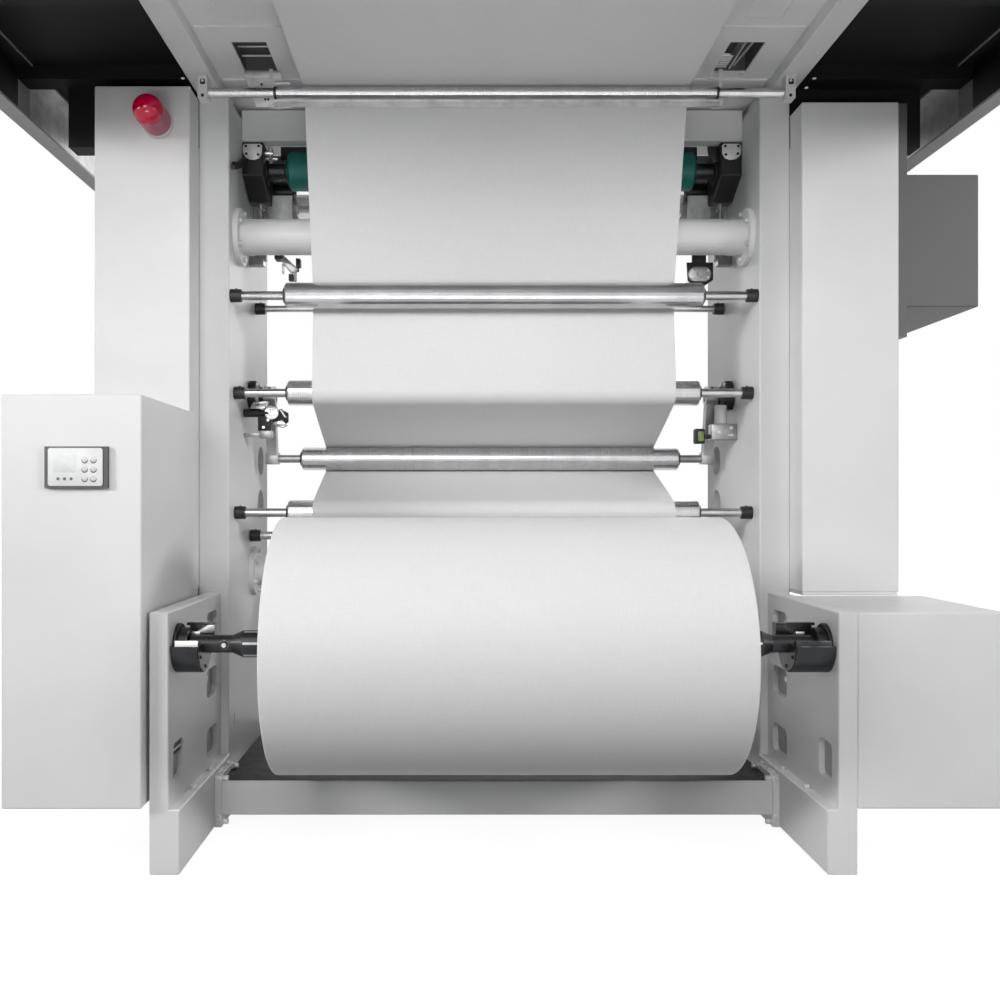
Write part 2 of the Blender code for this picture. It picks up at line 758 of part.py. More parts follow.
def make_chuck(side, sign):
    """Safety chuck: a flanged ring on the stand, and a socket whose hub turns in it.
    The socket is a half shell below the axis, where the journal lies. A latch on its rear half
    reaches over towards the roll."""
    inner_x = chuck_inner_x[side]
    wall_x = stand_inner_x - face_gap
    ring_x = wall_x - chuck_ring_depth
    bore = chuck_hub_radius + running_gap
    profile = [(sign * wall_x, bore), (sign * wall_x, chuck_ring_radius),
               (sign * (ring_x + chuck_ring_rim), chuck_ring_radius),
               (sign * ring_x, chuck_ring_radius - chuck_ring_rim), (sign * ring_x, bore)]
    turned(side + "_chuck_flange", profile, (0.0, 0.0, roll_axis_z), 36,
           dark_steel(side + "_chuck_flange_metal"), closed=True)

    shell_end_x = stand_inner_x - running_gap
    pit_x = ring_x - running_gap
    pit_radius = chuck_ring_radius + running_gap
    profile = [(sign * inner_x, 0.0), (sign * inner_x, chuck_radius - chuck_rim),
               (sign * (inner_x + chuck_rim), chuck_radius), (sign * shell_end_x, chuck_radius),
               (sign * shell_end_x, pit_radius), (sign * pit_x, pit_radius), (sign * pit_x, 0.0)]
    socket = turned(side + "_chuck_socket", profile, (0.0, 0.0, roll_axis_z), 40,
                    dark_steel(side + "_chuck_socket_metal"))
    lip_z = roll_axis_z + chuck_lip_rise
    upper_half = bmesh.new()
    reach = chuck_radius + cut_margin
    low_x, high_x = mirrored_span(sign, inner_x - cut_margin, shell_end_x + cut_margin)
    add_box(upper_half, (low_x, -reach, lip_z), (high_x, reach, roll_axis_z + reach))
    combine(socket, cutter(side + "_chuck_upper_half", upper_half), "DIFFERENCE")

    hub = bmesh.new()
    hub_start_x = journal_end_x + face_gap + boss_sink
    profile = cylinder_profile(sign * hub_start_x, sign * (stand_outer_x - chuck_hub_setback),
                               chuck_hub_radius)
    add_turned(hub, profile, (0.0, 0.0, roll_axis_z), 28)
    combine(socket, cutter(side + "_chuck_hub", hub), "UNION")

    seat = bmesh.new()
    fit = journal_radius + face_gap
    arc = arc_points((0.0, roll_axis_z), fit, 180.0, 360.0, 15.0)
    outline = arc + [(fit, lip_z + cut_margin), (-fit, lip_z + cut_margin)]
    low_x, high_x = mirrored_span(sign, inner_x - cut_margin, journal_end_x + face_gap)
    add_prism(seat, outline, low_x, high_x)
    combine(socket, cutter(side + "_chuck_seat", seat), "DIFFERENCE")

    latch_top_z = lip_z + latch_height
    latch = bmesh.new()
    low_x, high_x = mirrored_span(sign, inner_x - latch_overhang, inner_x + latch_foot)
    add_box(latch, (low_x, latch_y[0], lip_z - boss_sink), (high_x, latch_y[1], latch_top_z))
    combine(socket, cutter(side + "_chuck_latch", latch), "UNION")
    bar = bmesh.new()
    low_x, high_x = mirrored_span(sign, inner_x + latch_foot - boss_sink, ring_x)
    add_box(bar, (low_x, latch_y[1] - latch_bar_width, latch_top_z - latch_bar_depth),
            (high_x, latch_y[1] - face_gap, latch_top_z - face_gap))
    combine(socket, cutter(side + "_chuck_latch_bar", bar), "UNION")


def arc_points(centre, radius, start, end, largest_step=7.5):
    """Points on a circle in the Y-Z plane between two angles in degrees."""
    count = max(1, math.ceil(abs(end - start) / largest_step))
    return [(centre[0] + radius * math.cos(math.radians(start + (end - start) * i / count)),
             centre[1] + radius * math.sin(math.radians(start + (end - start) * i / count)))
            for i in range(count + 1)]


def tangent_angles(first, second):
    """Leaving and arriving angles of a belt run between two wheels (y, z, radius, turn).
    Turn is 1 where the web runs round the wheel anticlockwise and -1 where it runs clockwise."""
    run = math.atan2(second[1] - first[1], second[0] - first[0])
    distance = math.hypot(second[1] - first[1], second[0] - first[0])
    lean = math.asin((first[3] * first[2] - second[3] * second[2]) / distance)
    side = run + lean - math.pi / 2.0
    leaving = side if first[3] > 0 else side + math.pi
    arriving = side if second[3] > 0 else side + math.pi
    return math.degrees(leaving), math.degrees(arriving)


def wrap_angle(start, end, turn):
    """End angle moved by whole turns so that the wrap goes the given way."""
    while turn > 0 and end < start - 1.0:
        end += 360.0
    while turn > 0 and end > start + 359.0:
        end -= 360.0
    while turn < 0 and end > start + 1.0:
        end -= 360.0
    while turn < 0 and end < start - 359.0:
        end += 360.0
    return end


def web_path(wheels, offset, first_angle, last_angle, last_trim=0.0):
    """Centre line of the web over some wheels (y, z, radius, turn), from first to last angle."""
    grown = [(y, z, radius + offset, turn) for y, z, radius, turn in wheels]
    points = []
    arrival = first_angle
    for index, wheel in enumerate(grown):
        last = index == len(grown) - 1
        if last:
            leaving, next_arrival = last_angle, None
        else:
            leaving, next_arrival = tangent_angles(wheel, grown[index + 1])
        stop = wrap_angle(arrival, leaving, wheel[3]) - (last_trim * wheel[3] if last else 0.0)
        points += arc_points((wheel[0], wheel[1]), wheel[2], arrival, stop)
        arrival = next_arrival
    return points


def thicken(points, half):
    """Closed outline of a strip that follows the points at half its thickness each side."""
    left = []
    right = []
    for index, point in enumerate(points):
        before = Vector(points[max(index - 1, 0)])
        after = Vector(points[min(index + 1, len(points) - 1)])
        here = Vector(point)
        direction = (after - before).normalized()
        normal = Vector((-direction.y, direction.x))
        incoming = (here - before).normalized() if index > 0 else direction
        stretch = 1.0 / max(0.7, abs(incoming.dot(direction)))
        left.append(tuple(here + normal * half * stretch))
        right.append(tuple(here - normal * half * stretch))
    return left + right[::-1]


def make_web():
    """The web's runs, each ending half-way round an idler so that they meet end to end."""
    half = web_thickness / 2.0
    offset = web_gap + half
    roll = (0.0, roll_axis_z, roll_radius, 1)
    rear = (rear_idler_y, rear_idler_z, idler_radius, 1)
    lower = (lower_idler_y, lower_idler_z, idler_radius, -1)
    dancer = (dancer_y, dancer_z, idler_radius, 1)
    upper = (upper_idler_y, upper_idler_z, idler_radius, -1)
    spreader = (spreader_y, spreader_z, idler_radius, 1)
    top = (top_idler_y, top_idler_z, top_idler_radius, 1)
    end = (end_idler_y, top_idler_z, top_idler_radius, 1)
    gap_turn = math.degrees(face_gap / idler_radius)
    top_gap_turn = math.degrees(face_gap / top_idler_radius)
    runs = {
        "web_infeed": web_path([roll, rear, lower], offset, first_angle=-62.0, last_angle=180.0,
                               last_trim=gap_turn),
        "web_dancer_loop": web_path([lower, dancer, upper], offset, first_angle=180.0,
                                    last_angle=180.0, last_trim=gap_turn),
        "web_riser": web_path([upper, spreader, top], offset, first_angle=180.0, last_angle=55.0,
                              last_trim=top_gap_turn),
        "web_overhead": web_path([top, end], offset, first_angle=55.0, last_angle=150.0),
    }
    for name, points in runs.items():
        prism(name, thicken(points, half), -web_half_width, web_half_width,
              woven_fabric(name + "_fabric"))


def make_bridge_beam(side, sign):
    """Side beam of the bridge, with the plates that hang from it and carry the idlers."""
    finish = white_paint(side + "_bridge_beam_paint")
    low_x, high_x = mirrored_span(sign, bridge_beam_x[0], bridge_beam_x[1])
    beam = box(side + "_bridge_beam", (low_x, -bridge_half_length, frame_top_z + face_gap),
               (high_x, bridge_half_length, bridge_beam_top_z), finish, edge_bevel)
    plates = bmesh.new()
    bores = bmesh.new()
    low_x, high_x = mirrored_span(sign, bracket_x[0], bracket_x[1])
    for place_y in (top_idler_y, end_idler_y):
        add_box(plates, (low_x, place_y - bracket_half_depth, top_idler_z - bracket_low_drop),
                (high_x, place_y + bracket_half_depth, frame_top_z + boss_sink))
        mouth = sign * (bracket_x[0] - cut_margin)
        bottom = sign * (bracket_x[0] + bracket_seat_depth)
        add_turned(bores, cylinder_profile(mouth, bottom, idler_journal_radius + running_gap),
                   (0, place_y, top_idler_z), 20)
    combine(beam, cutter(side + "_idler_plates", plates), "UNION")
    combine(beam, cutter(side + "_idler_bores", bores), "DIFFERENCE")


def make_bridge_panel():
    """Panel between the bridge beams: cross ribs between bays and a window at each side of a bay."""
    finish = white_paint("bridge_panel_paint")
    reach = bridge_beam_x[0] - face_gap
    panel = box("bridge_panel", (-reach, -bridge_half_length, bridge_panel_z),
                (reach, bridge_half_length, bridge_panel_z + bridge_panel_thickness), finish)
    ribs = bmesh.new()
    windows = bmesh.new()
    bay_count = int((bridge_half_length - bay_first_y) / bay_length)
    for bay in range(bay_count + 1):
        rib_y = bay_first_y + bay * bay_length - (bay_length - window_length) / 2.0
        rib_low = bridge_panel_z - bridge_rib_depth
        rib_top = bridge_panel_z + bridge_panel_thickness / 2.0
        add_box(ribs, (-reach + cut_margin, rib_y - bridge_rib_width / 2.0, rib_low),
                (reach - cut_margin, rib_y + bridge_rib_width / 2.0, rib_top))
    for bay in range(bay_count):
        window_y = bay_first_y + bay * bay_length
        for sign in sides.values():
            low_x, high_x = mirrored_span(sign, window_x[0], window_x[1])
            add_box(windows, (low_x, window_y, bridge_panel_z - cut_margin),
                    (high_x, window_y + window_length, bridge_panel_z + cut_margin))
    combine(panel, cutter("bridge_ribs", ribs), "UNION")
    combine(panel, cutter("bridge_windows", windows), "DIFFERENCE")


def make_platform(side, sign):
    """Walkway beside the bridge: deck, channel girder on its outer edge, and bracket below."""
    low_x, high_x = mirrored_span(sign, bridge_beam_x[1] + face_gap, deck_outer_x)
    box(side + "_platform_deck", (low_x, -bridge_half_length, deck_underside_z),
        (high_x, bridge_half_length, bridge_beam_top_z), black_paint(side + "_platform_deck_paint"))

    top_z = deck_underside_z - face_gap
    low_z = top_z - girder_depth
    inner = deck_outer_x - girder_flange
    plate = girder_plate
    outline = [(sign * deck_outer_x, low_z), (sign * deck_outer_x, top_z), (sign * inner, top_z),
               (sign * inner, top_z - plate), (sign * (deck_outer_x - plate), top_z - plate),
               (sign * (deck_outer_x - plate), low_z + plate), (sign * inner, low_z + plate),
               (sign * inner, low_z)]
    prism(side + "_platform_girder", outline, -bridge_half_length, bridge_half_length,
          paint(side + "_platform_girder_paint", (0.33, 0.33, 0.34), 0.45, 0.0), axis="y")

    low_y, high_y = deck_bracket_y
    outline = [(deck_crossbar_front_y, deck_crossbar_low_z), (low_y, deck_crossbar_low_z),
               (low_y, deck_bracket_low_z), (high_y, deck_bracket_low_z), (high_y, top_z),
               (deck_crossbar_front_y, top_z)]
    low_x, high_x = mirrored_span(sign, bridge_beam_x[1] + face_gap,
                                  deck_outer_x - deck_bracket_inset)
    prism(side + "_platform_bracket", outline, low_x, high_x,
          black_paint(side + "_platform_bracket_paint"))


def build():
    clear_scene()
    for side, sign in sides.items():
        make_side_frame(side, sign)
        make_roll_stand(side, sign)
        make_nip_housing(side, sign)
        make_nip_cylinder(side, sign)
        make_chuck(side, sign)
        make_bridge_beam(side, sign)
        make_platform(side, sign)
    make_frame_cover("left", -1.0, left_cover_outer_x, left_cover_top_z)
    make_frame_cover("right", 1.0, right_cover_outer_x, right_cover_top_z)
    make_cross_beam()
    make_tread_plate()
    make_control_cabinet()
    make_control_panel()
    make_drive_housing()
    make_blower_box()
    make_beacon()
    make_tie_tube("upper_tie_tube", upper_tie_y, upper_tie_z, upper_tie_radius)
    make_tie_tube("lower_tie_tube", lower_tie_y, lower_tie_z, lower_tie_radius)
    make_top_tie()
    make_bridge_panel()
    make_sensor_bar()
    make_jumbo_roll()
    make_air_shaft()
    bracket_reach = bracket_x[0] + bracket_seat_depth - running_gap
    make_idler("top_idler", top_idler_y, top_idler_z, top_idler_radius, bracket_reach)
    make_idler("end_idler", end_idler_y, top_idler_z, top_idler_radius, bracket_reach)
    make_idler("spreader_roller", spreader_y, spreader_z)
    make_idler("upper_idler", upper_idler_y, upper_idler_z)
    make_idler("lower_idler", lower_idler_y, lower_idler_z)
    make_idler("rear_idler", rear_idler_y, rear_idler_z)
    make_dancer_arms()
    make_dancer_roller()
    make_nip_roller()
    make_pull_drum()
    make_web()


build()
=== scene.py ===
# Looks of the reel and infeed section: finishes, fittings and the woven web.
import json
import math

import bmesh
import bpy
from mathutils import Matrix, Vector, noise


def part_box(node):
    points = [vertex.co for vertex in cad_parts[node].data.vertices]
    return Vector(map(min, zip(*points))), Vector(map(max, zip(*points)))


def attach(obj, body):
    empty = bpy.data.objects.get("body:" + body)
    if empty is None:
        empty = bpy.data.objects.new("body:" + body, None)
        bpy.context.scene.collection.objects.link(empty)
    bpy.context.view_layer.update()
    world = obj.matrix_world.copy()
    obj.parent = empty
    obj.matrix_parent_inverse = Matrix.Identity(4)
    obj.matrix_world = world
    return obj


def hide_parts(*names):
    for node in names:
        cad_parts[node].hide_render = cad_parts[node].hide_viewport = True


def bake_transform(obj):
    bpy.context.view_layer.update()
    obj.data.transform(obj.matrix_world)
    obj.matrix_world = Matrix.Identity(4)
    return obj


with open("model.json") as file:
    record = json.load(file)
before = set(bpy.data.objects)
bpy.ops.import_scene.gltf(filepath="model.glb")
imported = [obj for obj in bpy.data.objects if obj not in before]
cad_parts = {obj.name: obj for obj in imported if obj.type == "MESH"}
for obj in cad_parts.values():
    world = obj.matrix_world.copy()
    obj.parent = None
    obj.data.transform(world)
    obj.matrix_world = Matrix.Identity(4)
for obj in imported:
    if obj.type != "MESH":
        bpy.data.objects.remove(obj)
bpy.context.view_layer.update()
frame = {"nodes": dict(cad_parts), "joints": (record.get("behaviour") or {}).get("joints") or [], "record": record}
axisOf = {joint["child"]: Vector(joint["pos_m"]) for joint in frame["joints"]}
sideSigns = {"left": -1.0, "right": 1.0}
print("frame loaded")


# Shader groups

def addNode(tree, kind, sockets=None, **settings):
    made = tree.nodes.new(kind)
    for key, value in settings.items():
        setattr(made, key, value)
    for key, value in (sockets or {}).items():
        if isinstance(value, bpy.types.NodeSocket):
            tree.links.new(value, made.inputs[key])
        else:
            made.inputs[key].default_value = value
    return made


def startGroup(name, inputs, outputs):
    group = bpy.data.node_groups.new(name, "ShaderNodeTree")
    for label, value in inputs.items():
        group.interface.new_socket(label, in_out="INPUT", socket_type="NodeSocketFloat").default_value = value
    for label in outputs:
        group.interface.new_socket(label, in_out="OUTPUT", socket_type="NodeSocketFloat")
    return group, group.nodes.new("NodeGroupInput").outputs, group.nodes.new("NodeGroupOutput").inputs


def calculate(tree, operation, *values, **settings):
    return addNode(tree, "ShaderNodeMath", dict(enumerate(values)), operation=operation, **settings).outputs["Value"]


def grainNoise(tree, vector, scale, **sockets):
    return addNode(tree, "ShaderNodeTexNoise", {"Vector": vector, "Scale": scale, **sockets}).outputs["Fac"]


def spread(tree, value, low, high, fromLow=0.3, fromHigh=0.7):
    ends = {"From Min": fromLow, "From Max": fromHigh, "To Min": low, "To Max": high}
    return addNode(tree, "ShaderNodeMapRange", {"Value": value, **ends}).outputs["Result"]


def objectPlace(tree):
    return addNode(tree, "ShaderNodeTexCoord").outputs["Object"]


def fillMask(group, first, second, amount, mask):
    both = calculate(group, "MULTIPLY", first, second)
    group.links.new(calculate(group, "MULTIPLY", both, amount, use_clamp=True), mask)


def paintGrainGroup():  # orange peel, broad shade and fine specks of a sprayed coat
    group, given, out = startGroup("paintGrain", {"Peel Scale": 260.0, "Shade Scale": 1.6}, ["Peel", "Shade", "Speck"])
    place = objectPlace(group)
    group.links.new(grainNoise(group, place, given["Peel Scale"], Detail=2.0), out["Peel"])
    group.links.new(grainNoise(group, place, given["Shade Scale"], Detail=4.0, Roughness=0.6), out["Shade"])
    group.links.new(grainNoise(group, place, 900.0, Detail=1.0), out["Speck"])
    return group


def edgeWearAndGlintGroup():  # where corners are rubbed, broken up by noise; on cast metal the lightened edges are partly a painted highlight
    group, given, out = startGroup("edgeWearAndGlint", {"Reach": 0.004, "Amount": 1.0}, ["Mask"])
    rounded = addNode(group, "ShaderNodeBevel", {"Radius": given["Reach"]}, samples=4).outputs["Normal"]
    flat = addNode(group, "ShaderNodeNewGeometry").outputs["Normal"]
    turn = addNode(group, "ShaderNodeVectorMath", {0: rounded, 1: flat}, operation="DOT_PRODUCT").outputs["Value"]
    patchy = grainNoise(group, objectPlace(group), 38.0, Detail=6.0, Roughness=0.7)
    edge, torn = spread(group, turn, 0.0, 1.0, 0.995, 0.80), spread(group, patchy, 0.0, 1.0, 0.46, 0.60)
    fillMask(group, edge, torn, given["Amount"], out["Mask"])
    return group


def latheLinesGroup():  # rings that turning and grinding leave round a shaft lying along X
    group, given, out = startGroup("latheLines", {"Line Density": 900.0, "Band Density": 18.0}, ["Lines", "Bands"])
    along = addNode(group, "ShaderNodeSeparateXYZ", {"Vector": objectPlace(group)}).outputs["X"]
    for label, size, detail in (("Lines", "Line Density", 3.0), ("Bands", "Band Density", 4.0)):
        made = addNode(group, "ShaderNodeTexNoise", {"W": along, "Scale": given[size], "Detail": detail},
                       noise_dimensions="1D")
        group.links.new(made.outputs["Fac"], out[label])
    return group


def tapeWeaveGroup():  # flat tapes woven over and under each other, read from the piece's UV map in metres
    group, given, out = startGroup("tapeWeave", {"Tape Width": 0.0026, "Streak Scale": 60.0},
                                   ["Height", "Streaks", "Crease"])
    cloth = addNode(group, "ShaderNodeUVMap", uv_map="cloth").outputs["UV"]
    place = addNode(group, "ShaderNodeSeparateXYZ", {"Vector": cloth}).outputs
    turns = calculate(group, "DIVIDE", math.pi, given["Tape Width"])
    waves = [calculate(group, "SINE", calculate(group, "MULTIPLY", place[way], turns)) for way in "XY"]
    group.links.new(calculate(group, "MULTIPLY", *waves), out["Height"])
    streaks = []
    for shares in ((8.0, 0.35), (0.35, 8.0)):
        scaled = {way: calculate(group, "MULTIPLY", place[way], share) for way, share in zip("XY", shares)}
        stretched = addNode(group, "ShaderNodeCombineXYZ", scaled).outputs["Vector"]
        streaks.append(grainNoise(group, stretched, given["Streak Scale"], Detail=3.0, Roughness=0.65))
    group.links.new(calculate(group, "MULTIPLY", calculate(group, "ADD", *streaks), 0.5), out["Streaks"])
    group.links.new(grainNoise(group, cloth, 9.0, Detail=5.0, Distortion=0.8), out["Crease"])
    return group


def dustGroup():  # dust that settles on faces turned up
    group, given, out = startGroup("settledDust", {"Amount": 0.5}, ["Mask"])
    normal = addNode(group, "ShaderNodeNewGeometry").outputs["Normal"]
    facing = addNode(group, "ShaderNodeSeparateXYZ", {"Vector": normal}).outputs["Z"]
    drift = grainNoise(group, objectPlace(group), 14.0, Detail=7.0, Roughness=0.65)
    upturned, lying = spread(group, facing, 0.0, 1.0, 0.35, 0.95), spread(group, drift, 0.0, 1.0, 0.35, 0.75)
    fillMask(group, upturned, lying, given["Amount"], out["Mask"])
    return group


paintGrain = paintGrainGroup()
edgeWearAndGlint = edgeWearAndGlintGroup()
latheLines = latheLinesGroup()
tapeWeave = tapeWeaveGroup()
settledDust = dustGroup()


# Materials

def startMaterial(name, **constants):
    made = bpy.data.materials.new(name)
    made.use_nodes = True
    tree = made.node_tree
    shader = tree.nodes["Principled BSDF"]
    for label, value in constants.items():
        shader.inputs[label.replace("_", " ")].default_value = value
    return made, tree, shader


def placeGroup(tree, group, **values):
    made = addNode(tree, "ShaderNodeGroup", node_tree=group)
    for label, value in values.items():
        made.inputs[label.replace("_", " ")].default_value = value
    return made.outputs


def blendColour(tree, factor, first, second):
    mix = addNode(tree, "ShaderNodeMix", data_type="RGBA")
    for socket, value in zip((mix.inputs[0], mix.inputs[6], mix.inputs[7]), (factor, first, second)):
        if isinstance(value, bpy.types.NodeSocket):
            tree.links.new(value, socket)
        else:
            socket.default_value = value
    return mix.outputs[2]


def tint(colour, share):
    return (*[channel * share for channel in colour[:3]], 1.0)


def shaded(tree, value, colour, dark, light, fromLow=0.3, fromHigh=0.7):
    return blendColour(tree, spread(tree, value, 0.0, 1.0, fromLow, fromHigh), tint(colour, dark), tint(colour, light))


def around(tree, value, roughness, below, above):
    return spread(tree, value, roughness - below, roughness + above)


def finishShader(tree, shader, colour, roughness, height, depth, strength=1.0):
    tree.links.new(colour, shader.inputs["Base Color"])
    tree.links.new(roughness, shader.inputs["Roughness"])
    bump = addNode(tree, "ShaderNodeBump", {"Height": height, "Distance": depth, "Strength": strength})
    tree.links.new(bump.outputs["Normal"], shader.inputs["Normal"])


paintLook = {"shadeScale": 1.6, "rubReach": 0.003, "rubAmount": 0.35, "dustColour": (0.50, 0.49, 0.47, 1.0)}


def sprayedPaint(name, look):
    made, tree, shader = startMaterial(name, Metallic=0.0, Specular_IOR_Level=look["shine"])
    grain = placeGroup(tree, paintGrain, Peel_Scale=look["peelScale"], Shade_Scale=paintLook["shadeScale"])
    rub = placeGroup(tree, edgeWearAndGlint, Reach=paintLook["rubReach"], Amount=paintLook["rubAmount"])["Mask"]
    dust = placeGroup(tree, settledDust, Amount=look["dust"])["Mask"]
    rubbed = blendColour(tree, rub, shaded(tree, grain["Shade"], look["colour"], 0.94, 1.03), tint(look["rub"], 1.0))
    dusty = blendColour(tree, dust, rubbed, paintLook["dustColour"])
    rough = around(tree, grain["Speck"], look["roughness"], 0.05, 0.08)
    finishShader(tree, shader, dusty, rough, grain["Peel"], look["peelDepth"])
    return made


def turnedMetal(name, look):
    made, tree, shader = startMaterial(name, Metallic=1.0)
    rings = placeGroup(tree, latheLines, Line_Density=look["lineDensity"], Band_Density=look["bandDensity"])
    grain = placeGroup(tree, paintGrain, Peel_Scale=90.0, Shade_Scale=6.0)
    smudge = spread(tree, grain["Shade"], 0.0, 0.35, 0.45, 0.75)
    colour = blendColour(tree, smudge, shaded(tree, rings["Bands"], look["colour"], 0.90, 1.04),
                         tint(look["colour"], 0.78))
    rough = around(tree, rings["Lines"], look["roughness"], 0.06, 0.10)
    finishShader(tree, shader, colour, rough, rings["Lines"], look["ringDepth"])
    return made


def castMetal(name, look):
    made, tree, shader = startMaterial(name, Metallic=look["metallic"])
    grain = placeGroup(tree, paintGrain, Peel_Scale=look["peelScale"], Shade_Scale=12.0)
    # edges blend to a lighter colour: partly worn metal, partly a painted highlight along lit edges such as the chuck
    # shells' top edges
    rub = placeGroup(tree, edgeWearAndGlint, Reach=0.003, Amount=look["rubAmount"])["Mask"]
    colour = blendColour(tree, rub, shaded(tree, grain["Shade"], look["colour"], 0.75, 1.25),
                         tint([look["rub"]] * 3, 1.0))
    rough = around(tree, grain["Speck"], look["roughness"], 0.07, 0.12)
    finishShader(tree, shader, colour, rough, grain["Peel"], look["peelDepth"])
    return made


def wovenSheet(name, look):
    made, tree, shader = startMaterial(name, Metallic=0.0, Sheen_Weight=0.12, Sheen_Roughness=0.4)
    cloth = placeGroup(tree, tapeWeave, Tape_Width=look["tapeWidth"], Streak_Scale=60.0)
    crease = spread(tree, cloth["Crease"], 0.0, 0.10, 0.5, 0.8)
    base = shaded(tree, cloth["Streaks"], look["colour"], 0.93, 1.0, 0.36, 0.64)
    colour = blendColour(tree, crease, base, tint(look["colour"], 0.80))
    finishShader(tree, shader, colour, spread(tree, cloth["Streaks"], 0.42, 0.62), cloth["Height"], 0.00012, 0.7)
    return made


def mouldedPlastic(name, look, shadeScale=9.0, tones=(0.86, 1.10), below=0.04, above=0.08, **clear):
    made, tree, shader = startMaterial(name, Metallic=0.0, Coat_Weight=look["coat"], **clear)
    grain = placeGroup(tree, paintGrain, Peel_Scale=look["grainScale"], Shade_Scale=shadeScale)
    rough = around(tree, grain["Speck"], look["roughness"], below, above)
    colour = shaded(tree, grain["Shade"], look["colour"], *tones)
    finishShader(tree, shader, colour, rough, grain["Peel"], look["grainDepth"])
    return made


def clearLens(name, look):
    return mouldedPlastic(name, look, 20.0, (0.85, 1.08), 0.0, 0.06, Transmission_Weight=look["clear"], IOR=1.49)


plasticColumns = ("colour", "grainScale", "grainDepth", "roughness", "coat")
finishTables = (
    (sprayedPaint, ("colour", "rub", "peelScale", "peelDepth", "dust", "roughness", "shine"), {
        "whiteCoat": ((0.795, 0.795, 0.80), (0.55, 0.54, 0.52), 260.0, 0.00006, 0.10, 0.42, 0.5),
        "greyCoat": ((0.42, 0.42, 0.43), (0.5, 0.5, 0.5), 260.0, 0.00006, 0.10, 0.42, 0.5),
        "blackCoat": ((0.012, 0.012, 0.013), (0.10, 0.10, 0.10), 260.0, 0.00006, 0.08, 0.6, 0.14),
        "slateCoat": ((0.105, 0.105, 0.108), (0.3, 0.3, 0.3), 420.0, 0.00015, 0.10, 0.5, 0.5),
    }),
    (turnedMetal, ("colour", "lineDensity", "bandDensity", "roughness", "ringDepth"), {
        "polishedIdler": ((0.60, 0.60, 0.61), 900.0, 18.0, 0.24, 0.00002),
        "chromeDrum": ((0.56, 0.56, 0.57), 1500.0, 9.0, 0.14, 0.00001),
        "brightSteel": ((0.60, 0.60, 0.61), 1100.0, 40.0, 0.30, 0.00003),
    }),
    (castMetal, ("colour", "metallic", "peelScale", "peelDepth", "roughness", "rubAmount", "rub"), {
        "blackenedSteel": ((0.034, 0.035, 0.037), 0.75, 120.0, 0.00008, 0.34, 0.9, 0.42),
        "castBlack": ((0.014, 0.014, 0.015), 0.2, 160.0, 0.0002, 0.5, 0.4, 0.14),
        "castAlloy": ((0.36, 0.36, 0.36), 0.8, 140.0, 0.00015, 0.38, 0.5, 0.75),
        "zincScrew": ((0.62, 0.62, 0.61), 1.0, 300.0, 0.00004, 0.28, 0.3, 0.8),
        "paleScrew": ((0.72, 0.72, 0.72), 0.2, 300.0, 0.00004, 0.4, 0.3, 0.55),
        "paleSheet": ((0.82, 0.82, 0.82), 0.15, 200.0, 0.00003, 0.36, 0.2, 0.8),
        "polishedClamp": ((0.45, 0.45, 0.45), 1.0, 160.0, 0.00006, 0.18, 0.2, 0.9),
    }),
    (mouldedPlastic, plasticColumns, {
        "groundRubber": ((0.006, 0.175, 0.145), 420.0, 0.0001, 0.5, 0.0),
        "blackPlastic": ((0.016, 0.016, 0.017), 500.0, 0.00008, 0.42, 0.0),
        "bezelPlastic": ((0.085, 0.085, 0.088), 600.0, 0.00006, 0.45, 0.0),
        "membrane": ((0.80, 0.81, 0.81), 700.0, 0.00003, 0.55, 0.0),
        "screenGlass": ((0.72, 0.74, 0.745), 900.0, 0.00001, 0.38, 0.0),
        "lampBase": ((0.70, 0.68, 0.67), 500.0, 0.00004, 0.4, 0.1),
        "keyRubber": ((0.13, 0.13, 0.135), 500.0, 0.00004, 0.5, 0.0),
        "limeLens": ((0.22, 0.30, 0.05), 500.0, 0.00004, 0.3, 0.3),
        "paperCore": ((0.36, 0.27, 0.18), 300.0, 0.0002, 0.8, 0.0),
    }),
    (clearLens, (*plasticColumns, "clear"), {
        "redDome": ((0.78, 0.0, 0.060), 40.0, 0.00002, 0.10, 0.0, 0.08),
        "redCylinder": ((0.52, 0.085, 0.17), 200.0, 0.0001, 0.35, 0.1, 0.2),
    }),
    (wovenSheet, ("colour", "tapeWidth"), {
        "woundWeb": ((0.80, 0.80, 0.80), 0.0032), "whiteWeb": ((0.77, 0.77, 0.77), 0.0026),
    }),
)
finishes = {name: make(name, dict(zip(columns, row)))
            for make, columns, rows in finishTables for name, row in rows.items()}
# the blower's dark slate coat is partly its grey paint and partly painted shade from the platform above it
slotFinish = {
    "white_paint": "whiteCoat", "black_paint": "blackCoat", "girder_paint": "greyCoat", "blower_paint": "slateCoat",
    "panel_plastic": "bezelPlastic", "beacon_lens": "redDome", "roller_aluminium": "polishedIdler",
    "roller_chrome": "chromeDrum", "bright_steel": "brightSteel", "dark_steel": "blackenedSteel",
    "nip_rubber": "groundRubber", "woven_fabric": "whiteWeb",
}
nodeFinish = {"left_nip_housing": "castBlack", "right_nip_housing": "castBlack", "dancer_arms": "castAlloy",
              "left_nip_cylinder": "castAlloy", "right_nip_cylinder": "castAlloy",
              "left_chuck_flange": "castBlack", "right_chuck_flange": "castBlack"}


def dressFrame():
    for entry in frame["record"]["subparts"]:
        name = nodeFinish.get(entry["node"], slotFinish[entry["material_slot"]])
        mesh = frame["nodes"][entry["node"]].data
        mesh.materials.clear()
        mesh.materials.append(finishes[name])


dressFrame()
print("frame dressed")


# Mesh helpers

def carry(shape, place):
    bmesh.ops.transform(shape, matrix=place, verts=shape.verts)


def vertsOf(items):
    return [item for item in items if isinstance(item, bmesh.types.BMVert)]


def merge(target, part, place=None):  # adds one bmesh to another at a place
    if place is not None:
        carry(part, place)
    scratch = bpy.data.meshes.new("scratch")
    part.to_mesh(scratch)
    part.free()
    target.from_mesh(scratch)
    bpy.data.meshes.remove(scratch)


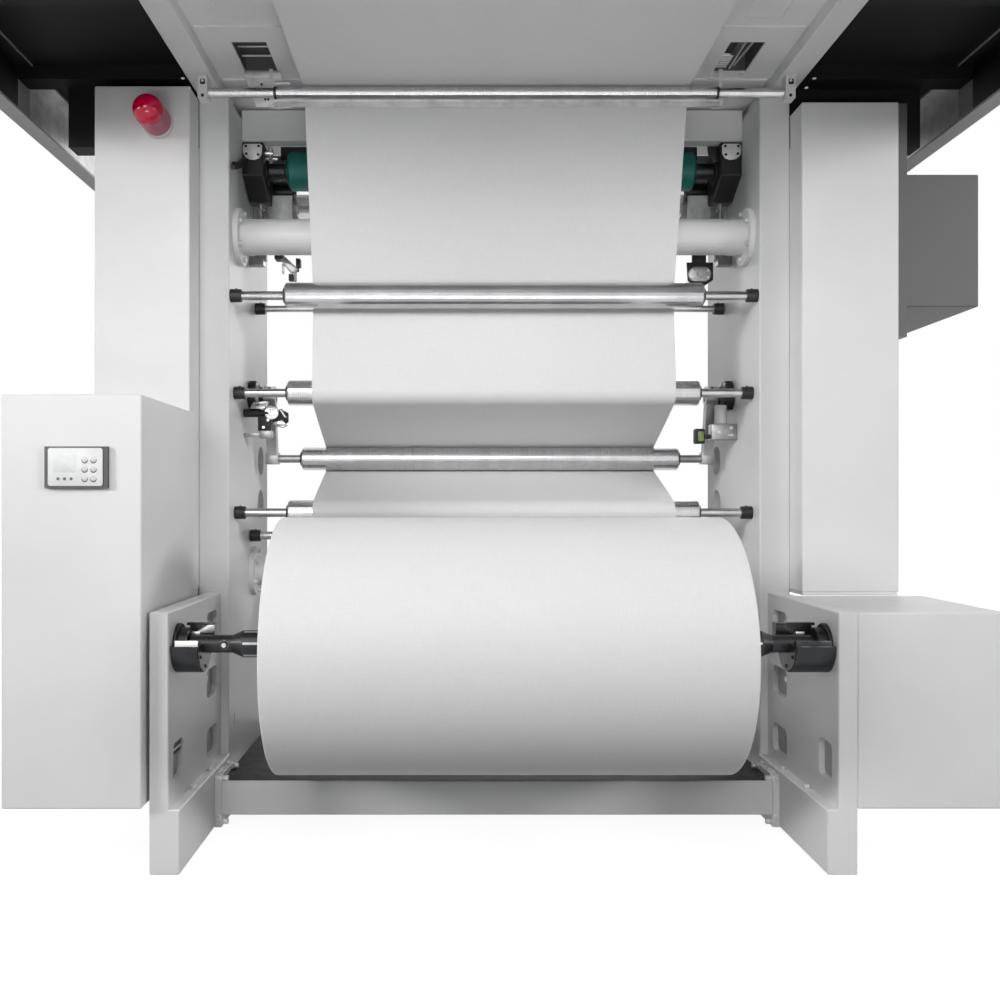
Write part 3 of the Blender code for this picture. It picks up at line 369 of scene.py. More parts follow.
def block(low, high, rim=0.001, rounds=2):
    low, high = Vector(low), Vector(high)
    shape = bmesh.new()
    bmesh.ops.create_cube(shape, size=1.0)
    bmesh.ops.scale(shape, vec=high - low, verts=shape.verts)
    bmesh.ops.translate(shape, vec=(high + low) / 2.0, verts=shape.verts)
    bmesh.ops.bevel(shape, geom=shape.edges[:], offset=rim, affect="EDGES", segments=rounds, profile=0.5, material=-1)
    return shape


def lathe(profile, steps=32, closed=False):  # profile of (along Z, radius) points
    shape = bmesh.new()
    points = [shape.verts.new((across, 0.0, along)) for along, across in profile]
    edges = [shape.edges.new(pair) for pair in zip(points, points[1:])]
    if closed:
        edges.append(shape.edges.new((points[-1], points[0])))
    bmesh.ops.spin(shape, geom=points + edges, cent=(0, 0, 0), axis=(0, 0, 1), angle=math.tau, steps=steps,
                   use_merge=True)
    bmesh.ops.remove_doubles(shape, verts=shape.verts[:], dist=0.00001)
    return shape


def pointing(axis, at):  # matrix that stands a Z-up shape on a point, along an axis
    turn = Vector((0, 0, 1)).rotation_difference(Vector(axis))
    return Matrix.Translation(at) @ turn.to_matrix().to_4x4()


def screwHead(across, height):  # hexagon head on a washer
    shape = bmesh.new()
    bmesh.ops.create_cone(shape, cap_ends=True, segments=6, radius1=across / 2, radius2=across / 2, depth=height)
    bmesh.ops.translate(shape, vec=(0, 0, height / 2 + height * 0.25), verts=shape.verts)
    bmesh.ops.bevel(shape, geom=shape.edges[:], offset=across * 0.05, affect="EDGES", segments=1, profile=0.5,
                    material=-1)
    washer = lathe([(0, 0), (0, across * 0.68), (height * 0.2, across * 0.68), (height * 0.25, across * 0.62),
                    (height * 0.25, 0)], 16)
    merge(shape, washer)
    return shape


def socketHead(across, height):  # round head with a hexagon socket
    shape = bmesh.new()
    made = bmesh.ops.create_cone(shape, cap_ends=True, segments=18, radius1=across / 2, radius2=across / 2,
                                 depth=height)
    bmesh.ops.translate(shape, vec=(0, 0, height / 2), verts=made["verts"])
    top = max(shape.faces, key=lambda face: face.calc_center_median().z)
    bmesh.ops.inset_individual(shape, faces=[top], thickness=across * 0.22)
    grown = bmesh.ops.extrude_face_region(shape, geom=[top])
    sunk = vertsOf(grown["geom"])
    bmesh.ops.translate(shape, vec=(0, 0, -height * 0.45), verts=sunk)
    bmesh.ops.delete(shape, geom=[top], context="FACES_ONLY")
    return shape


def slab(outline, axis, low, high, rim=0.0008):  # outline of the other two coordinates, pushed along an axis
    order = {"x": lambda a, b, c: (c, a, b), "y": lambda a, b, c: (a, c, b), "z": lambda a, b, c: (a, b, c)}[axis]
    shape = bmesh.new()
    face = shape.faces.new([shape.verts.new(order(a, b, low)) for a, b in outline])
    made = bmesh.ops.extrude_face_region(shape, geom=[face])
    moved = vertsOf(made["geom"])
    bmesh.ops.translate(shape, vec=order(0.0, 0.0, high - low), verts=moved)
    bmesh.ops.recalc_face_normals(shape, faces=shape.faces)
    outer = [edge for edge in shape.edges if edge.is_convex]
    bmesh.ops.bevel(shape, geom=outer, offset=rim, affect="EDGES", segments=2, profile=0.5, material=-1)
    return shape


def softRectangle(low, high, radius, steps=4):
    middles = ((high[0] - radius, high[1] - radius, 0.0), (low[0] + radius, high[1] - radius, 90.0),
               (low[0] + radius, low[1] + radius, 180.0), (high[0] - radius, low[1] + radius, 270.0))
    turns = [(a, b, math.radians(start + 90.0 * step / steps)) for a, b, start in middles for step in range(steps + 1)]
    return [(a + radius * math.cos(turn), b + radius * math.sin(turn)) for a, b, turn in turns]


def arcSlab(inner, outer, start, end, low, high, centre, steps=14):  # part of a ring round an axis along X
    turns = [math.radians(start + (end - start) * step / steps) for step in range(steps + 1)]
    outline = [(centre.y + outer * math.cos(turn), centre.z + outer * math.sin(turn)) for turn in turns]
    outline += [(centre.y + inner * math.cos(turn), centre.z + inner * math.sin(turn)) for turn in reversed(turns)]
    return slab(outline, "x", low, high, 0.0004)


def rod(start, end, radius, steps=20, rim=0.001):
    start, end = Vector(start), Vector(end)
    long = (end - start).length
    shape = lathe([(0.0, 0.0), (0.0, radius - rim), (rim, radius), (long - rim, radius), (long, radius - rim),
                   (long, 0.0)], steps)
    carry(shape, pointing((end - start).normalized(), start))
    return shape


def sixSided(at, radius, depth):  # six-sided nut
    shape = bmesh.new()
    bmesh.ops.create_cone(shape, cap_ends=True, segments=6, radius1=radius, radius2=radius * 0.94, depth=depth)
    bmesh.ops.bevel(shape, geom=shape.edges[:], offset=0.002, affect="EDGES", segments=2, profile=0.5, material=-1)
    carry(shape, pointing(towardsFront, at))
    return shape


def finishPiece(name, shape, finish, body="root", stands=(), angle=35.0, smooth=True):
    bmesh.ops.recalc_face_normals(shape, faces=shape.faces)
    mesh = bpy.data.meshes.new(name)
    shape.to_mesh(mesh)
    shape.free()
    if smooth:
        mesh.shade_smooth()
        mesh.set_sharp_from_angle(angle=math.radians(angle))
    mesh.materials.append(finishes[finish])
    piece = bpy.data.objects.new(name, mesh)
    bpy.context.scene.collection.objects.link(piece)
    if body:
        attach(piece, body)
    if stands:
        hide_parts(*stands)
    return piece


towardsFront = (0, -1, 0)


def seat(target, part, axis, at):  # adds a Z-up shape, stood on a point along an axis
    merge(target, part, pointing(axis, at))


def sideSpan(sign, low, high):  # a span of the right side, or its mirror
    return sorted((sign * low, sign * high))


def sideBlock(sign, low, high, rim=0.001, rounds=2):
    x0, x1 = sideSpan(sign, low[0], high[0])
    return block((x0, *low[1:]), (x1, *high[1:]), rim, rounds)


def plate(outline, low, high, rim=0.0008):
    return slab(outline, "y", low, high, rim)


def frontHeads(height, *spots):  # socket heads that face the front, each with its width
    shape = bmesh.new()
    for across, at in spots:
        seat(shape, socketHead(across, height), towardsFront, at)
    return shape


def assemble(pieces):  # pieces that stand at fixed places, each a finish and its parts
    for name, (finish, *parts) in pieces.items():
        shape = bmesh.new()
        for make, *values in parts:
            merge(shape, make(*values))
        finishPiece(name, shape, finish)


# Rollers

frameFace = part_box("left_nip_housing")[0].x * -1.0
socketLook = {"radius": 0.0222, "bore": 0.0162, "length": 0.0372, "lip": 0.0015, "tallScrew": 0.003}
sealLook = {"outer": 0.0265, "slim": 0.0198, "inner": 0.0158, "depth": 0.007}


def rollerSockets(side, sign):  # black plastic caps over the sockets that hold the journals
    shape = bmesh.new()
    look = socketLook
    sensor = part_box("sensor_bar")
    seats = [axisOf[body] for body in ("spreader_roller", "upper_idler", "lower_idler", "rear_idler")]
    seats.append((sensor[0] + sensor[1]) / 2.0)
    profile = [(0.0, look["bore"]), (0.0, look["radius"]), (look["length"] - look["lip"], look["radius"] - 0.0006),
               (look["length"], look["radius"] - look["lip"] * 1.5), (look["length"], look["bore"])]
    for spot in seats:
        place = pointing((-sign, 0, 0), (sign * frameFace, spot.y, spot.z))
        merge(shape, lathe(profile, 28, closed=True), place)
        top = (sign * (frameFace - look["length"] * 0.5), spot.y, spot.z + look["radius"] - 0.001)
        seat(shape, socketHead(0.007, look["tallScrew"]), (0, 0, 1), top)
    finishPiece(side + "SocketCaps", shape, "blackPlastic")


def rollerSeals(body, node, faceHalf, outer):  # dark bearing seals at a roller's ends
    shape = bmesh.new()
    look = sealLook
    middle = axisOf[body]
    profile = [(-0.002, look["inner"]), (-0.002, outer), (look["depth"] - 0.002, outer),
               (look["depth"], outer - 0.002), (look["depth"], look["inner"])]
    for sign in (-1.0, 1.0):
        place = pointing((sign, 0, 0), (sign * faceHalf, middle.y, middle.z))
        merge(shape, lathe(profile, 28, closed=True), place)
    first, second = node.split("_")
    finishPiece(first + second.capitalize() + "Seals", shape, "blackPlastic", body=body)


for side, sign in sideSigns.items():
    rollerSockets(side, sign)
for body in ("spreader_roller", "upper_idler", "lower_idler", "rear_idler", "dancer_roller"):
    rollerSeals(body, body, 0.700, sealLook["outer"])
for body in ("top_idler", "end_idler"):
    rollerSeals(body, body, 0.700, sealLook["slim"])
print("rollers fitted")


# Web

webLook = {"halfWidth": 0.614, "columns": 26, "standOff": 0.0018, "runStep": 0.05, "wrapStep": 9.0, "wave": 0.0016,
           "thickness": 0.0006}
webRuns = {
    "webInfeed": {"stands": "web_infeed", "first": -62.0, "last": 180.0,
                  "wheels": [("roll", "jumbo_roll", 1), ("rear_idler", "rear_idler", 1),
                             ("lower_idler", "lower_idler", -1)]},
    "webDancerLoop": {"stands": "web_dancer_loop", "first": 180.0, "last": 180.0,
                      "wheels": [("lower_idler", "lower_idler", -1), ("dancer_roller", "dancer_roller", 1),
                                 ("upper_idler", "upper_idler", -1)]},
    "webRiser": {"stands": "web_riser", "first": 180.0, "last": 55.0,
                 "wheels": [("upper_idler", "upper_idler", -1), ("spreader_roller", "spreader_roller", 1),
                            ("top_idler", "top_idler", 1)]},
    "webOverhead": {"stands": "web_overhead", "first": 55.0, "last": 150.0,
                    "wheels": [("top_idler", "top_idler", 1), ("end_idler", "end_idler", 1)]},
}


def wheelOf(body, node, turn):
    low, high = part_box(node)
    return {"y": axisOf[body].y, "z": axisOf[body].z, "radius": (high.y - low.y) / 2.0 + webLook["standOff"],
            "turn": turn}


def runAngles(first, second):  # where a straight run leaves one wheel and meets the next, in degrees
    y, z = second["y"] - first["y"], second["z"] - first["z"]
    lean = math.asin((first["turn"] * first["radius"] - second["turn"] * second["radius"]) / math.hypot(y, z))
    heading = math.degrees(math.atan2(z, y) + lean)
    return heading - 90.0 * first["turn"], heading - 90.0 * second["turn"]


def rimPoint(wheel, angle):
    turn = math.radians(angle)
    return Vector((0, wheel["y"] + wheel["radius"] * math.cos(turn), wheel["z"] + wheel["radius"] * math.sin(turn)))


def wrapTurn(start, end, turn):  # how far the web wraps, in the wheel's own sense
    return ((end - start) * turn) % 360.0 * turn if abs(end - start) > 0.01 else 0.0


def webStrip(run):  # one row of points, carried round the wheels and along the straight runs
    look = webLook
    wheels = [wheelOf(*wheel) for wheel in run["wheels"]]
    shape = bmesh.new()
    along = shape.verts.layers.float.new("along")
    loose = shape.verts.layers.float.new("loose")
    angle = run["first"]
    start = rimPoint(wheels[0], angle).yz
    columns = look["columns"]
    row = [shape.verts.new((look["halfWidth"] * (2.0 * i / columns - 1.0), *start)) for i in range(columns + 1)]
    edges = [shape.edges.new(pair) for pair in zip(row, row[1:])]
    travelled = 0.0

    def advance(made, distance, slack):
        nonlocal row, edges, travelled
        row = vertsOf(made)
        edges = [item for item in made if isinstance(item, bmesh.types.BMEdge)]
        travelled += distance
        for vert in row:
            vert[along] = travelled
            vert[loose] = slack

    for index, wheel in enumerate(wheels):
        last = index == len(wheels) - 1
        leaving, meeting = (run["last"], None) if last else runAngles(wheel, wheels[index + 1])
        turn = wrapTurn(angle, leaving, wheel["turn"])
        if abs(turn) > 330.0:
            turn = 0.0
        steps = max(1, math.ceil(abs(turn) / look["wrapStep"]))
        for step in range(steps if turn else 0):
            made = bmesh.ops.spin(shape, geom=row + edges, cent=(0, wheel["y"], wheel["z"]), axis=(1, 0, 0),
                                  angle=math.radians(turn / steps), steps=1)
            advance(made["geom_last"], abs(math.radians(turn / steps)) * wheel["radius"], 0.0)
        if last:
            break
        nextWheel = wheels[index + 1]
        reach = rimPoint(nextWheel, meeting) - rimPoint(wheel, leaving)
        count = max(2, math.ceil(reach.length / look["runStep"]))
        for step in range(count):
            made = bmesh.ops.extrude_edge_only(shape, edges=edges)["geom"]
            moved = vertsOf(made)
            bmesh.ops.translate(shape, vec=reach / count, verts=moved)
            share = (step + 1) / count
            fresh = set(moved)
            rim = [item for item in made if isinstance(item, bmesh.types.BMEdge) and fresh.issuperset(item.verts)]
            advance(moved + rim, reach.length / count, math.sin(math.pi * share) * min(1.0, reach.length / 0.3))
        angle = meeting
    return shape, along, loose, travelled


def wovenPiece(name, run, bends=None):
    shape, along, loose, length = webStrip(run)
    shape.normal_update()
    for vert in shape.verts:
        ripple = noise.noise(Vector((vert.co.x * 5.0, vert[along] * 2.2, run["first"])))
        edgeCurl = (abs(vert.co.x) / webLook["halfWidth"]) ** 12
        lift = webLook["wave"] * vert[loose] * (ripple + 0.5 * edgeCurl)
        vert.co += vert.normal * lift
    cloth = shape.loops.layers.uv.new("cloth")
    for face in shape.faces:
        for corner in face.loops:
            corner[cloth].uv = (corner.vert.co.x, corner.vert[along])
    bmesh.ops.solidify(shape, geom=shape.faces[:], thickness=webLook["thickness"])
    body = None if bends else "root"
    piece = finishPiece(name, shape, "whiteWeb", body=body, stands=[run["stands"]], angle=60.0)
    if bends:
        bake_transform(piece)


for name, run in webRuns.items():
    reach = (axisOf["lower_idler"].y + 0.05, axisOf["dancer_roller"].y - 0.05) if name == "webDancerLoop" else None
    wovenPiece(name, run, reach)
print("web laid")


# Jumbo roll and its shaft

rollLook = {
    "half": 0.6165, "core": 0.0482, "stations": 84, "turns": 176, "sag": 0.0009, "edge": 0.005,
    "layers": 30, "layerDepth": 0.0004,
    "tube": [(-0.02, 0.0384), (-0.02, 0.0479), (0.0035, 0.0479), (0.004, 0.0472), (0.004, 0.0390), (0.0035, 0.0384)],
}


def woundRoll():
    look = rollLook
    low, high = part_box("jumbo_roll")
    half, core, radius = look["half"], look["core"], (high.z - low.z) / 2.0
    side = []
    for layer in range(look["layers"] + 1):
        share = layer / look["layers"]
        side.append((half - look["layerDepth"] * (layer % 2), core + (radius - look["edge"] - core) * share))
    curve = [(half - look["edge"] * (1.0 - math.cos(turn)), radius - look["edge"] * (1.0 - math.sin(turn)))
             for turn in (math.radians(step * 18.0) for step in range(1, 5))]
    width = half - look["edge"]
    face = [(width - 2.0 * width * step / look["stations"], radius) for step in range(look["stations"] + 1)]
    rightSide = side + curve
    profile = rightSide + face + [(-along, across) for along, across in reversed(rightSide)]
    shape = lathe(profile, look["turns"])
    carry(shape, pointing((1, 0, 0), axisOf["roll"]))
    middle = axisOf["roll"]
    for vert in shape.verts:
        arm = Vector((0.0, vert.co.y - middle.y, vert.co.z - middle.z))
        if arm.length < radius * 0.9:
            continue
        turn = math.atan2(arm.z, arm.y)
        place = Vector((vert.co.x * 3.5, math.cos(turn) * 2.2, math.sin(turn) * 2.2))
        fine = Vector((vert.co.x * 26.0, math.cos(turn) * 1.1, math.sin(turn) * 1.1))
        dip = 0.5 + 0.5 * noise.noise(place) + 0.35 * noise.noise(fine)
        vert.co -= arm.normalized() * look["sag"] * max(0.0, min(1.0, dip))
    cloth = shape.loops.layers.uv.new("cloth")
    for face in shape.faces:
        centre = face.calc_center_median()
        base = math.atan2(centre.z - middle.z, centre.y - middle.y)
        for corner in face.loops:
            spot = corner.vert.co
            turn = math.atan2(spot.z - middle.z, spot.y - middle.y)
            turn += math.tau if turn < base - math.pi else (-math.tau if turn > base + math.pi else 0.0)
            reach = math.hypot(spot.z - middle.z, spot.y - middle.y)
            corner[cloth].uv = (spot.x + (radius - reach), turn * radius)
    finishPiece("woundRoll", shape, "woundWeb", body="roll", stands=["jumbo_roll"], angle=30.0)
    shape = bmesh.new()
    for sign in (-1.0, 1.0):
        profile = [(half + along, across) for along, across in look["tube"]]
        seat(shape, lathe(profile, 40, closed=True), (sign, 0, 0), (0, middle.y, middle.z))
    finishPiece("rollCore", shape, "paperCore", body="roll", stands=["jumbo_roll"])


shaftLook = {
    "radius": 0.038, "leafInner": 0.036, "leafWidth": 0.0065, "leafRise": 0.0007, "leafSpan": (0.6215, 0.7215),
    "leafAngles": (172, 232, 292, 352, 52, 112), "valveAt": (-0.775, -0.0306),
    "seat": [(0.0, 0.0), (0.0, 0.0108), (0.002, 0.0108), (0.0026, 0.0100), (0.0026, 0.0078), (0.0006, 0.0074),
             (0.0006, 0.0)],
    "valve": [(0.0, 0.0), (0.0, 0.0066), (0.0030, 0.0066), (0.0036, 0.0058), (0.0036, 0.0026), (0.0014, 0.0022),
              (0.0014, 0.0)],
}


def shaftFittings():
    look = shaftLook
    middle = axisOf["roll"]
    shape = bmesh.new()
    for sign in (-1.0, 1.0):
        for angle in look["leafAngles"]:
            half = math.degrees(look["leafWidth"] / 2.0 / look["radius"])
            low, high = sideSpan(sign, *look["leafSpan"])
            outer = look["radius"] + look["leafRise"]
            merge(shape, arcSlab(look["leafInner"], outer, angle - half, angle + half, low, high, middle, 4))
    finishPiece("shaftLeaves", shape, "castAlloy", body="roll")
    valvePlace = pointing(towardsFront, (*look["valveAt"], middle.z))
    shape = lathe(look["seat"], 24)
    carry(shape, valvePlace)
    finishPiece("valveSeat", shape, "castBlack", body="roll")
    shape = lathe(look["valve"], 20)
    carry(shape, valvePlace)
    finishPiece("airValve", shape, "zincScrew", body="roll")


shoeLook = {"left": (-0.873, -0.850), "right": (0.828, 0.853), "inner": 0.0259, "outer": 0.0335, "angles": (6.0, 88.0)}
# the left lip's bright zinc is a painted highlight along the left chuck shell's top edge; the right lip keeps the
# shell's dark steel
lipLook = {"inner": 0.0620, "outer": 0.0787, "angles": (166.0, 177.7), "gap": 0.001, "wall": 0.8980,
           "finish": {"left": "zincScrew", "right": "blackenedSteel"}}
latchLook = {
    "face": 0.017, "armY": (0.0330, 0.0358), "finish": {"left": "castAlloy", "right": "blackenedSteel"},
    "arm": ((0.056, 0.001), (0.036, 0.001), (0.019, 0.024), (-0.017, 0.027), (-0.017, 0.049), (0.002, 0.049),
            (0.039, 0.027)),
    "wallGap": 0.012, "wallEnd": 0.893, "wall": ((0.0560, 0.010), (0.0645, 0.0500)),
    "screws": ((0.0, -0.0625), (-0.052, -0.030), (0.052, -0.030)), "screw": (0.010, 0.0025),
}


def chuckFittings():
    look = latchLook
    middle = axisOf["roll"]
    shape = bmesh.new()
    walls = bmesh.new()
    screws = bmesh.new()
    for side, sign in sideSigns.items():
        low, high = shoeLook[side]
        merge(shape, arcSlab(shoeLook["inner"], shoeLook["outer"], *shoeLook["angles"], low, high, middle))
        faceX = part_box(side + "_chuck_socket")[1 if sign < 0 else 0].x + sign * look["face"]
        low, high = sorted((faceX + sign * lipLook["gap"], sign * lipLook["wall"]))
        lip = arcSlab(lipLook["inner"], lipLook["outer"], *lipLook["angles"], low, high, middle, 6)
        finishPiece(side + "ChuckLip", lip, lipLook["finish"][side], body="roll")
        arm = [(faceX + sign * a, middle.z + b) for a, b in look["arm"]]
        arm = plate(arm, *look["armY"])
        finishPiece(side + "LatchArm", arm, look["finish"][side], body="roll")
        low, high = sorted((faceX + sign * look["wallGap"], sign * look["wallEnd"]))
        (y0, z0), (y1, z1) = look["wall"]
        merge(walls, block((low, y0, middle.z + z0), (high, y1, middle.z + z1)))
        for y, z in look["screws"]:
            seat(screws, socketHead(*look["screw"]), (-sign, 0, 0), (faceX, middle.y + y, middle.z + z))
    finishPiece("journalShoes", shape, "zincScrew", body="roll")
    finishPiece("chuckScrews", screws, "castBlack", body="roll")
    finishPiece("latchWalls", walls, "blackenedSteel", body="roll")


woundRoll()
shaftFittings()
chuckFittings()
print("roll wound")


# Beacon and control panel

beaconLook = {"base": 0.016, "ribs": 36, "ribDepth": 0.0011, "bodyRadius": 0.0462, "domeRadius": 0.047,
              "domeHeight": 0.0445}


def warningBeacon():
    look = beaconLook
    low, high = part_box("warning_beacon")
    place = pointing(towardsFront, ((low.x + high.x) / 2.0, high.y, (low.z + high.z) / 2.0))
    domeStart = (high.y - low.y) - look["domeHeight"]
    shape = lathe([(0, 0), (0, 0.0497), (look["base"] - 0.003, 0.0497), (look["base"], 0.0470), (look["base"], 0)], 48)
    carry(shape, place)
    finishPiece("beaconBase", shape, "lampBase", stands=["warning_beacon"])
    shape = bmesh.new()
    ring = bmesh.ops.create_circle(shape, cap_ends=True, segments=look["ribs"] * 4, radius=look["bodyRadius"])["verts"]
    for vert in ring:
        turn = math.atan2(vert.co.y, vert.co.x)
        vert.co *= 1.0 - look["ribDepth"] / look["bodyRadius"] * (0.5 + 0.5 * math.cos(turn * look["ribs"]))
        vert.co.z = look["base"]
    made = bmesh.ops.extrude_face_region(shape, geom=shape.faces[:])
    moved = vertsOf(made["geom"])
    bmesh.ops.translate(shape, vec=(0, 0, domeStart - 0.003 - look["base"]), verts=moved)
    carry(shape, place)
    finishPiece("beaconBody", shape, "redCylinder", stands=["warning_beacon"], angle=50.0)
    radius = look["domeRadius"]
    profile = [(domeStart - 0.004, 0.0), (domeStart - 0.004, radius - 0.001), (domeStart - 0.003, radius)]
    turns = [math.radians(4.5 * step) for step in range(20)]
    profile += [(domeStart + look["domeHeight"] * math.sin(turn), radius * math.cos(turn)) for turn in turns]
    profile.append((domeStart + look["domeHeight"], 0.0))
    shape = lathe(profile, 56)
    carry(shape, place)
    finishPiece("beaconDome", shape, "redDome", stands=["warning_beacon"], angle=50.0)


panelLook = {
    "keyShadowRadius": 0.0088, "capRadius": 0.0078, "keyColumns": (-1.1195, -1.0960), "keyRows": (1.1285, 1.1035, 1.0785),
    "screen": ((-1.2035, 1.0935), (-1.1420, 1.1400)), "border": (0.0092, 0.0128, 0.0056, 0.0042),
    "lamps": (-1.1905, -1.1730, -1.1555), "lampZ": 1.0765,
    "lamp": [(0, 0), (0, 0.0042), (0.0006, 0.0042), (0.0011, 0.0032), (0.0011, 0)],
}


def controlPanelFace():
    look = panelLook
    low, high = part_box("control_panel")
    face = low.y - 0.0006
    border = look["border"]
    corners = ((low.x + border[0], low.z + border[2]), (high.x - border[1], high.z - border[3]))
    shape = slab(softRectangle(*corners, 0.006), "y", face, face + 0.0030, 0.0004)
    finishPiece("panelMembrane", shape, "membrane")
    corners = look["screen"]
    shape = slab(softRectangle(*corners, 0.0025), "y", face - 0.0004, face + 0.0004, 0.0002)
    finishPiece("panelScreen", shape, "screenGlass")
    shape = bmesh.new()
    keyShadowsAndLamps = bmesh.new()
    # each pale key sits on a wider dark disc set lower; the dark crescent showing below each key is painted shade
    caps = ((shape, look["capRadius"], 0.0, 0.0013), (keyShadowsAndLamps, look["keyShadowRadius"], 0.0026, 0.0006))
    for x in look["keyColumns"]:
        for z in look["keyRows"]:
            for target, radius, drop, height in caps:
                cap = lathe([(0, 0), (0, radius), (height * 0.5, radius), (height, radius * 0.85), (height, 0)], 24)
                merge(target, cap, pointing(towardsFront, (x, face, z - drop)))
    for x in look["lamps"]:
        seat(keyShadowsAndLamps, lathe(look["lamp"], 18), towardsFront, (x, face, look["lampZ"]))
    finishPiece("panelKeyShadowsAndLamps", keyShadowsAndLamps, "keyRubber")
    finishPiece("panelKeys", shape, "lampBase")


warningBeacon()
controlPanelFace()
print("beacon and panel made")


# Frame and stand fittings

tieLook = {"inset": 0.0185, "flange": 0.018, "count": 6, "first": 30.0, "bolt": (0.017, 0.009)}


def tieFlangeBolts():
    shape = bmesh.new()
    look = tieLook
    for node in ("upper_tie_tube", "lower_tie_tube"):
        low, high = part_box(node)
        middle = (low + high) / 2.0
        circle = {"y": middle.y, "z": middle.z, "radius": (high.z - low.z) / 2.0 - look["inset"]}
        for sign in (-1.0, 1.0):
            for step in range(look["count"]):
                spot = rimPoint(circle, look["first"] + 360.0 / look["count"] * step)
                seat(shape, screwHead(*look["bolt"]), (-sign, 0, 0), (sign * (high.x - look["flange"]), spot.y, spot.z))
    finishPiece("tieFlangeBolts", shape, "paleScrew")


pocketLook = {
    "bottom": 0.929, "skin": (0.9278, 0.9288), "boltY": 0.347, "boltRise": 0.012, "bolt": (0.017, 0.009),
    "frontFloor": ((-0.0450, 0.2410), (0.0480, 0.3440), 0.0170), "levels": (0.252, 0.440, 0.620),
    "levelY": (0.3110, 0.4390), "levelHalf": 0.0440, "levelCorner": 0.0210,
    "liner": ((-0.044, 0.308), (0.047, 0.343), 0.012), "linerX": (-0.9286, -0.9170),
    "bar": ((-0.9160, -0.038, 0.321), (-0.9130, 0.041, 0.327)),
}


def standPockets():
    look = pocketLook
    studs = bmesh.new()
    floors = bmesh.new()
    half = look["levelHalf"]
    for sign in (-1.0, 1.0):
        skin = sideSpan(sign, *look["skin"])
        merge(floors, slab(softRectangle(*look["frontFloor"]), "x", *skin, 0.0003))
        for level in look["levels"]:
            corners = [(y, level + rise) for y, rise in zip(look["levelY"], (-half, half))]
            merge(floors, slab(softRectangle(*corners, look["levelCorner"]), "x", *skin, 0.0003))
            spot = (sign * look["bottom"], look["boltY"], level + look["boltRise"])
            seat(studs, socketHead(*look["bolt"]), (-sign, 0, 0), spot)
    finishPiece("pocketFloors", floors, "greyCoat")
    finishPiece("pocketStuds", studs, "zincScrew")
    # only the left stand's front pocket is filled in the photo
    finishPiece("pocketLiners", slab(softRectangle(*look["liner"]), "x", *look["linerX"], 0.001), "castBlack")
    finishPiece("pocketBars", block(*look["bar"]), "zincScrew")


footLook = {
    "top": (0.320, 0.352, 0.425), "topX": 0.010, "topBolt": (0.016, 0.008),
    "front": (0.030, 0.150), "frontX": 0.0105, "frontBolt": (0.014, 0.008),
    "inner": ((0.300, 0.016), (0.303, 0.150), (0.437, 0.152)), "innerX": 0.020, "innerBolt": (0.018, 0.016),
    "stand": ((0.896, 0.10, 0.177), (0.896, 0.30, 0.177)), "standBolt": (0.020, 0.010),
    "stripX": 0.022, "stripY": (0.010, 0.108), "stripZ": (0.1432, 0.1450),
}


def footBolts():
    look = footLook
    shape = bmesh.new()
    low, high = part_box("front_cross_beam")
    for sign in (-1.0, 1.0):
        for y in look["top"]:
            seat(shape, screwHead(*look["topBolt"]), (0, 0, 1), (sign * (high.x - look["topX"]), y, high.z))
        for z in look["front"]:
            seat(shape, screwHead(*look["frontBolt"]), towardsFront, (sign * (high.x - look["frontX"]), low.y, z))
        for y, z in look["inner"]:
            seat(shape, screwHead(*look["innerBolt"]), (-sign, 0, 0), (sign * (high.x - look["innerX"]), y, z))
        for x, y, z in look["stand"]:
            seat(shape, screwHead(*look["standBolt"]), (0, 0, 1), (sign * x, y, z))
    finishPiece("footBolts", shape, "paleScrew")
    reach = high.x - look["stripX"]
    (y0, y1), (z0, z1) = look["stripY"], look["stripZ"]
    strip = block((-reach, low.y + y0, z0), (reach, low.y + y1, z1), 0.0005, 1)
    finishPiece("beamTopStrip", strip, "blackCoat")  # matting that laps over the front beam


idlerPlateLook = {"front": 0.022, "span": (0.9170, 0.9430), "cap": (0.0400, 0.0505), "pocket": (0.0185, 0.0360),
                  "boltX": 0.9290, "bolt": 0.0290, "boltSize": (0.0085, 0.003), "screw": -0.0165,
                  "screwSize": (0.010, 0.002)}


def idlerPlates():  # clamp block, pocket and bolt on the plates that carry the overhead idlers
    look = idlerPlateLook
    caps = bmesh.new()
    pockets = bmesh.new()
    bolts = bmesh.new()
    for body in ("top_idler", "end_idler"):
        middle = axisOf[body]
        front = middle.y - look["front"]
        for sign in (-1.0, 1.0):
            low, high = sideSpan(sign, *look["span"])
            merge(caps, block((low, front - 0.006, middle.z + look["cap"][0]),
                              (high, front + 0.0005, middle.z + look["cap"][1])))
            corners = ((low + 0.006, middle.z + look["pocket"][0]), (high - 0.004, middle.z + look["pocket"][1]))
            merge(pockets, slab(softRectangle(*corners, 0.003), "y", front - 0.0012, front + 0.0005, 0.0003))
            seat(bolts, socketHead(*look["boltSize"]), towardsFront,
                 (sign * look["boltX"], front - 0.0012, middle.z + look["bolt"]))
            seat(pockets, socketHead(*look["screwSize"]), towardsFront,
                 (sign * look["boltX"], front - 0.0002, middle.z + look["screw"]))
    finishPiece("idlerPlateCaps", caps, "whiteCoat")
    finishPiece("idlerPlatePockets", pockets, "castBlack")
    finishPiece("idlerPlateBolts", bolts, "zincScrew")


guardLook = {"half": 0.705, "front": 0.318, "back": 0.3565, "low": 2.2743, "lip": 0.0091, "sheet": 0.002,
             "strap": (0.7150, 0.7270)}


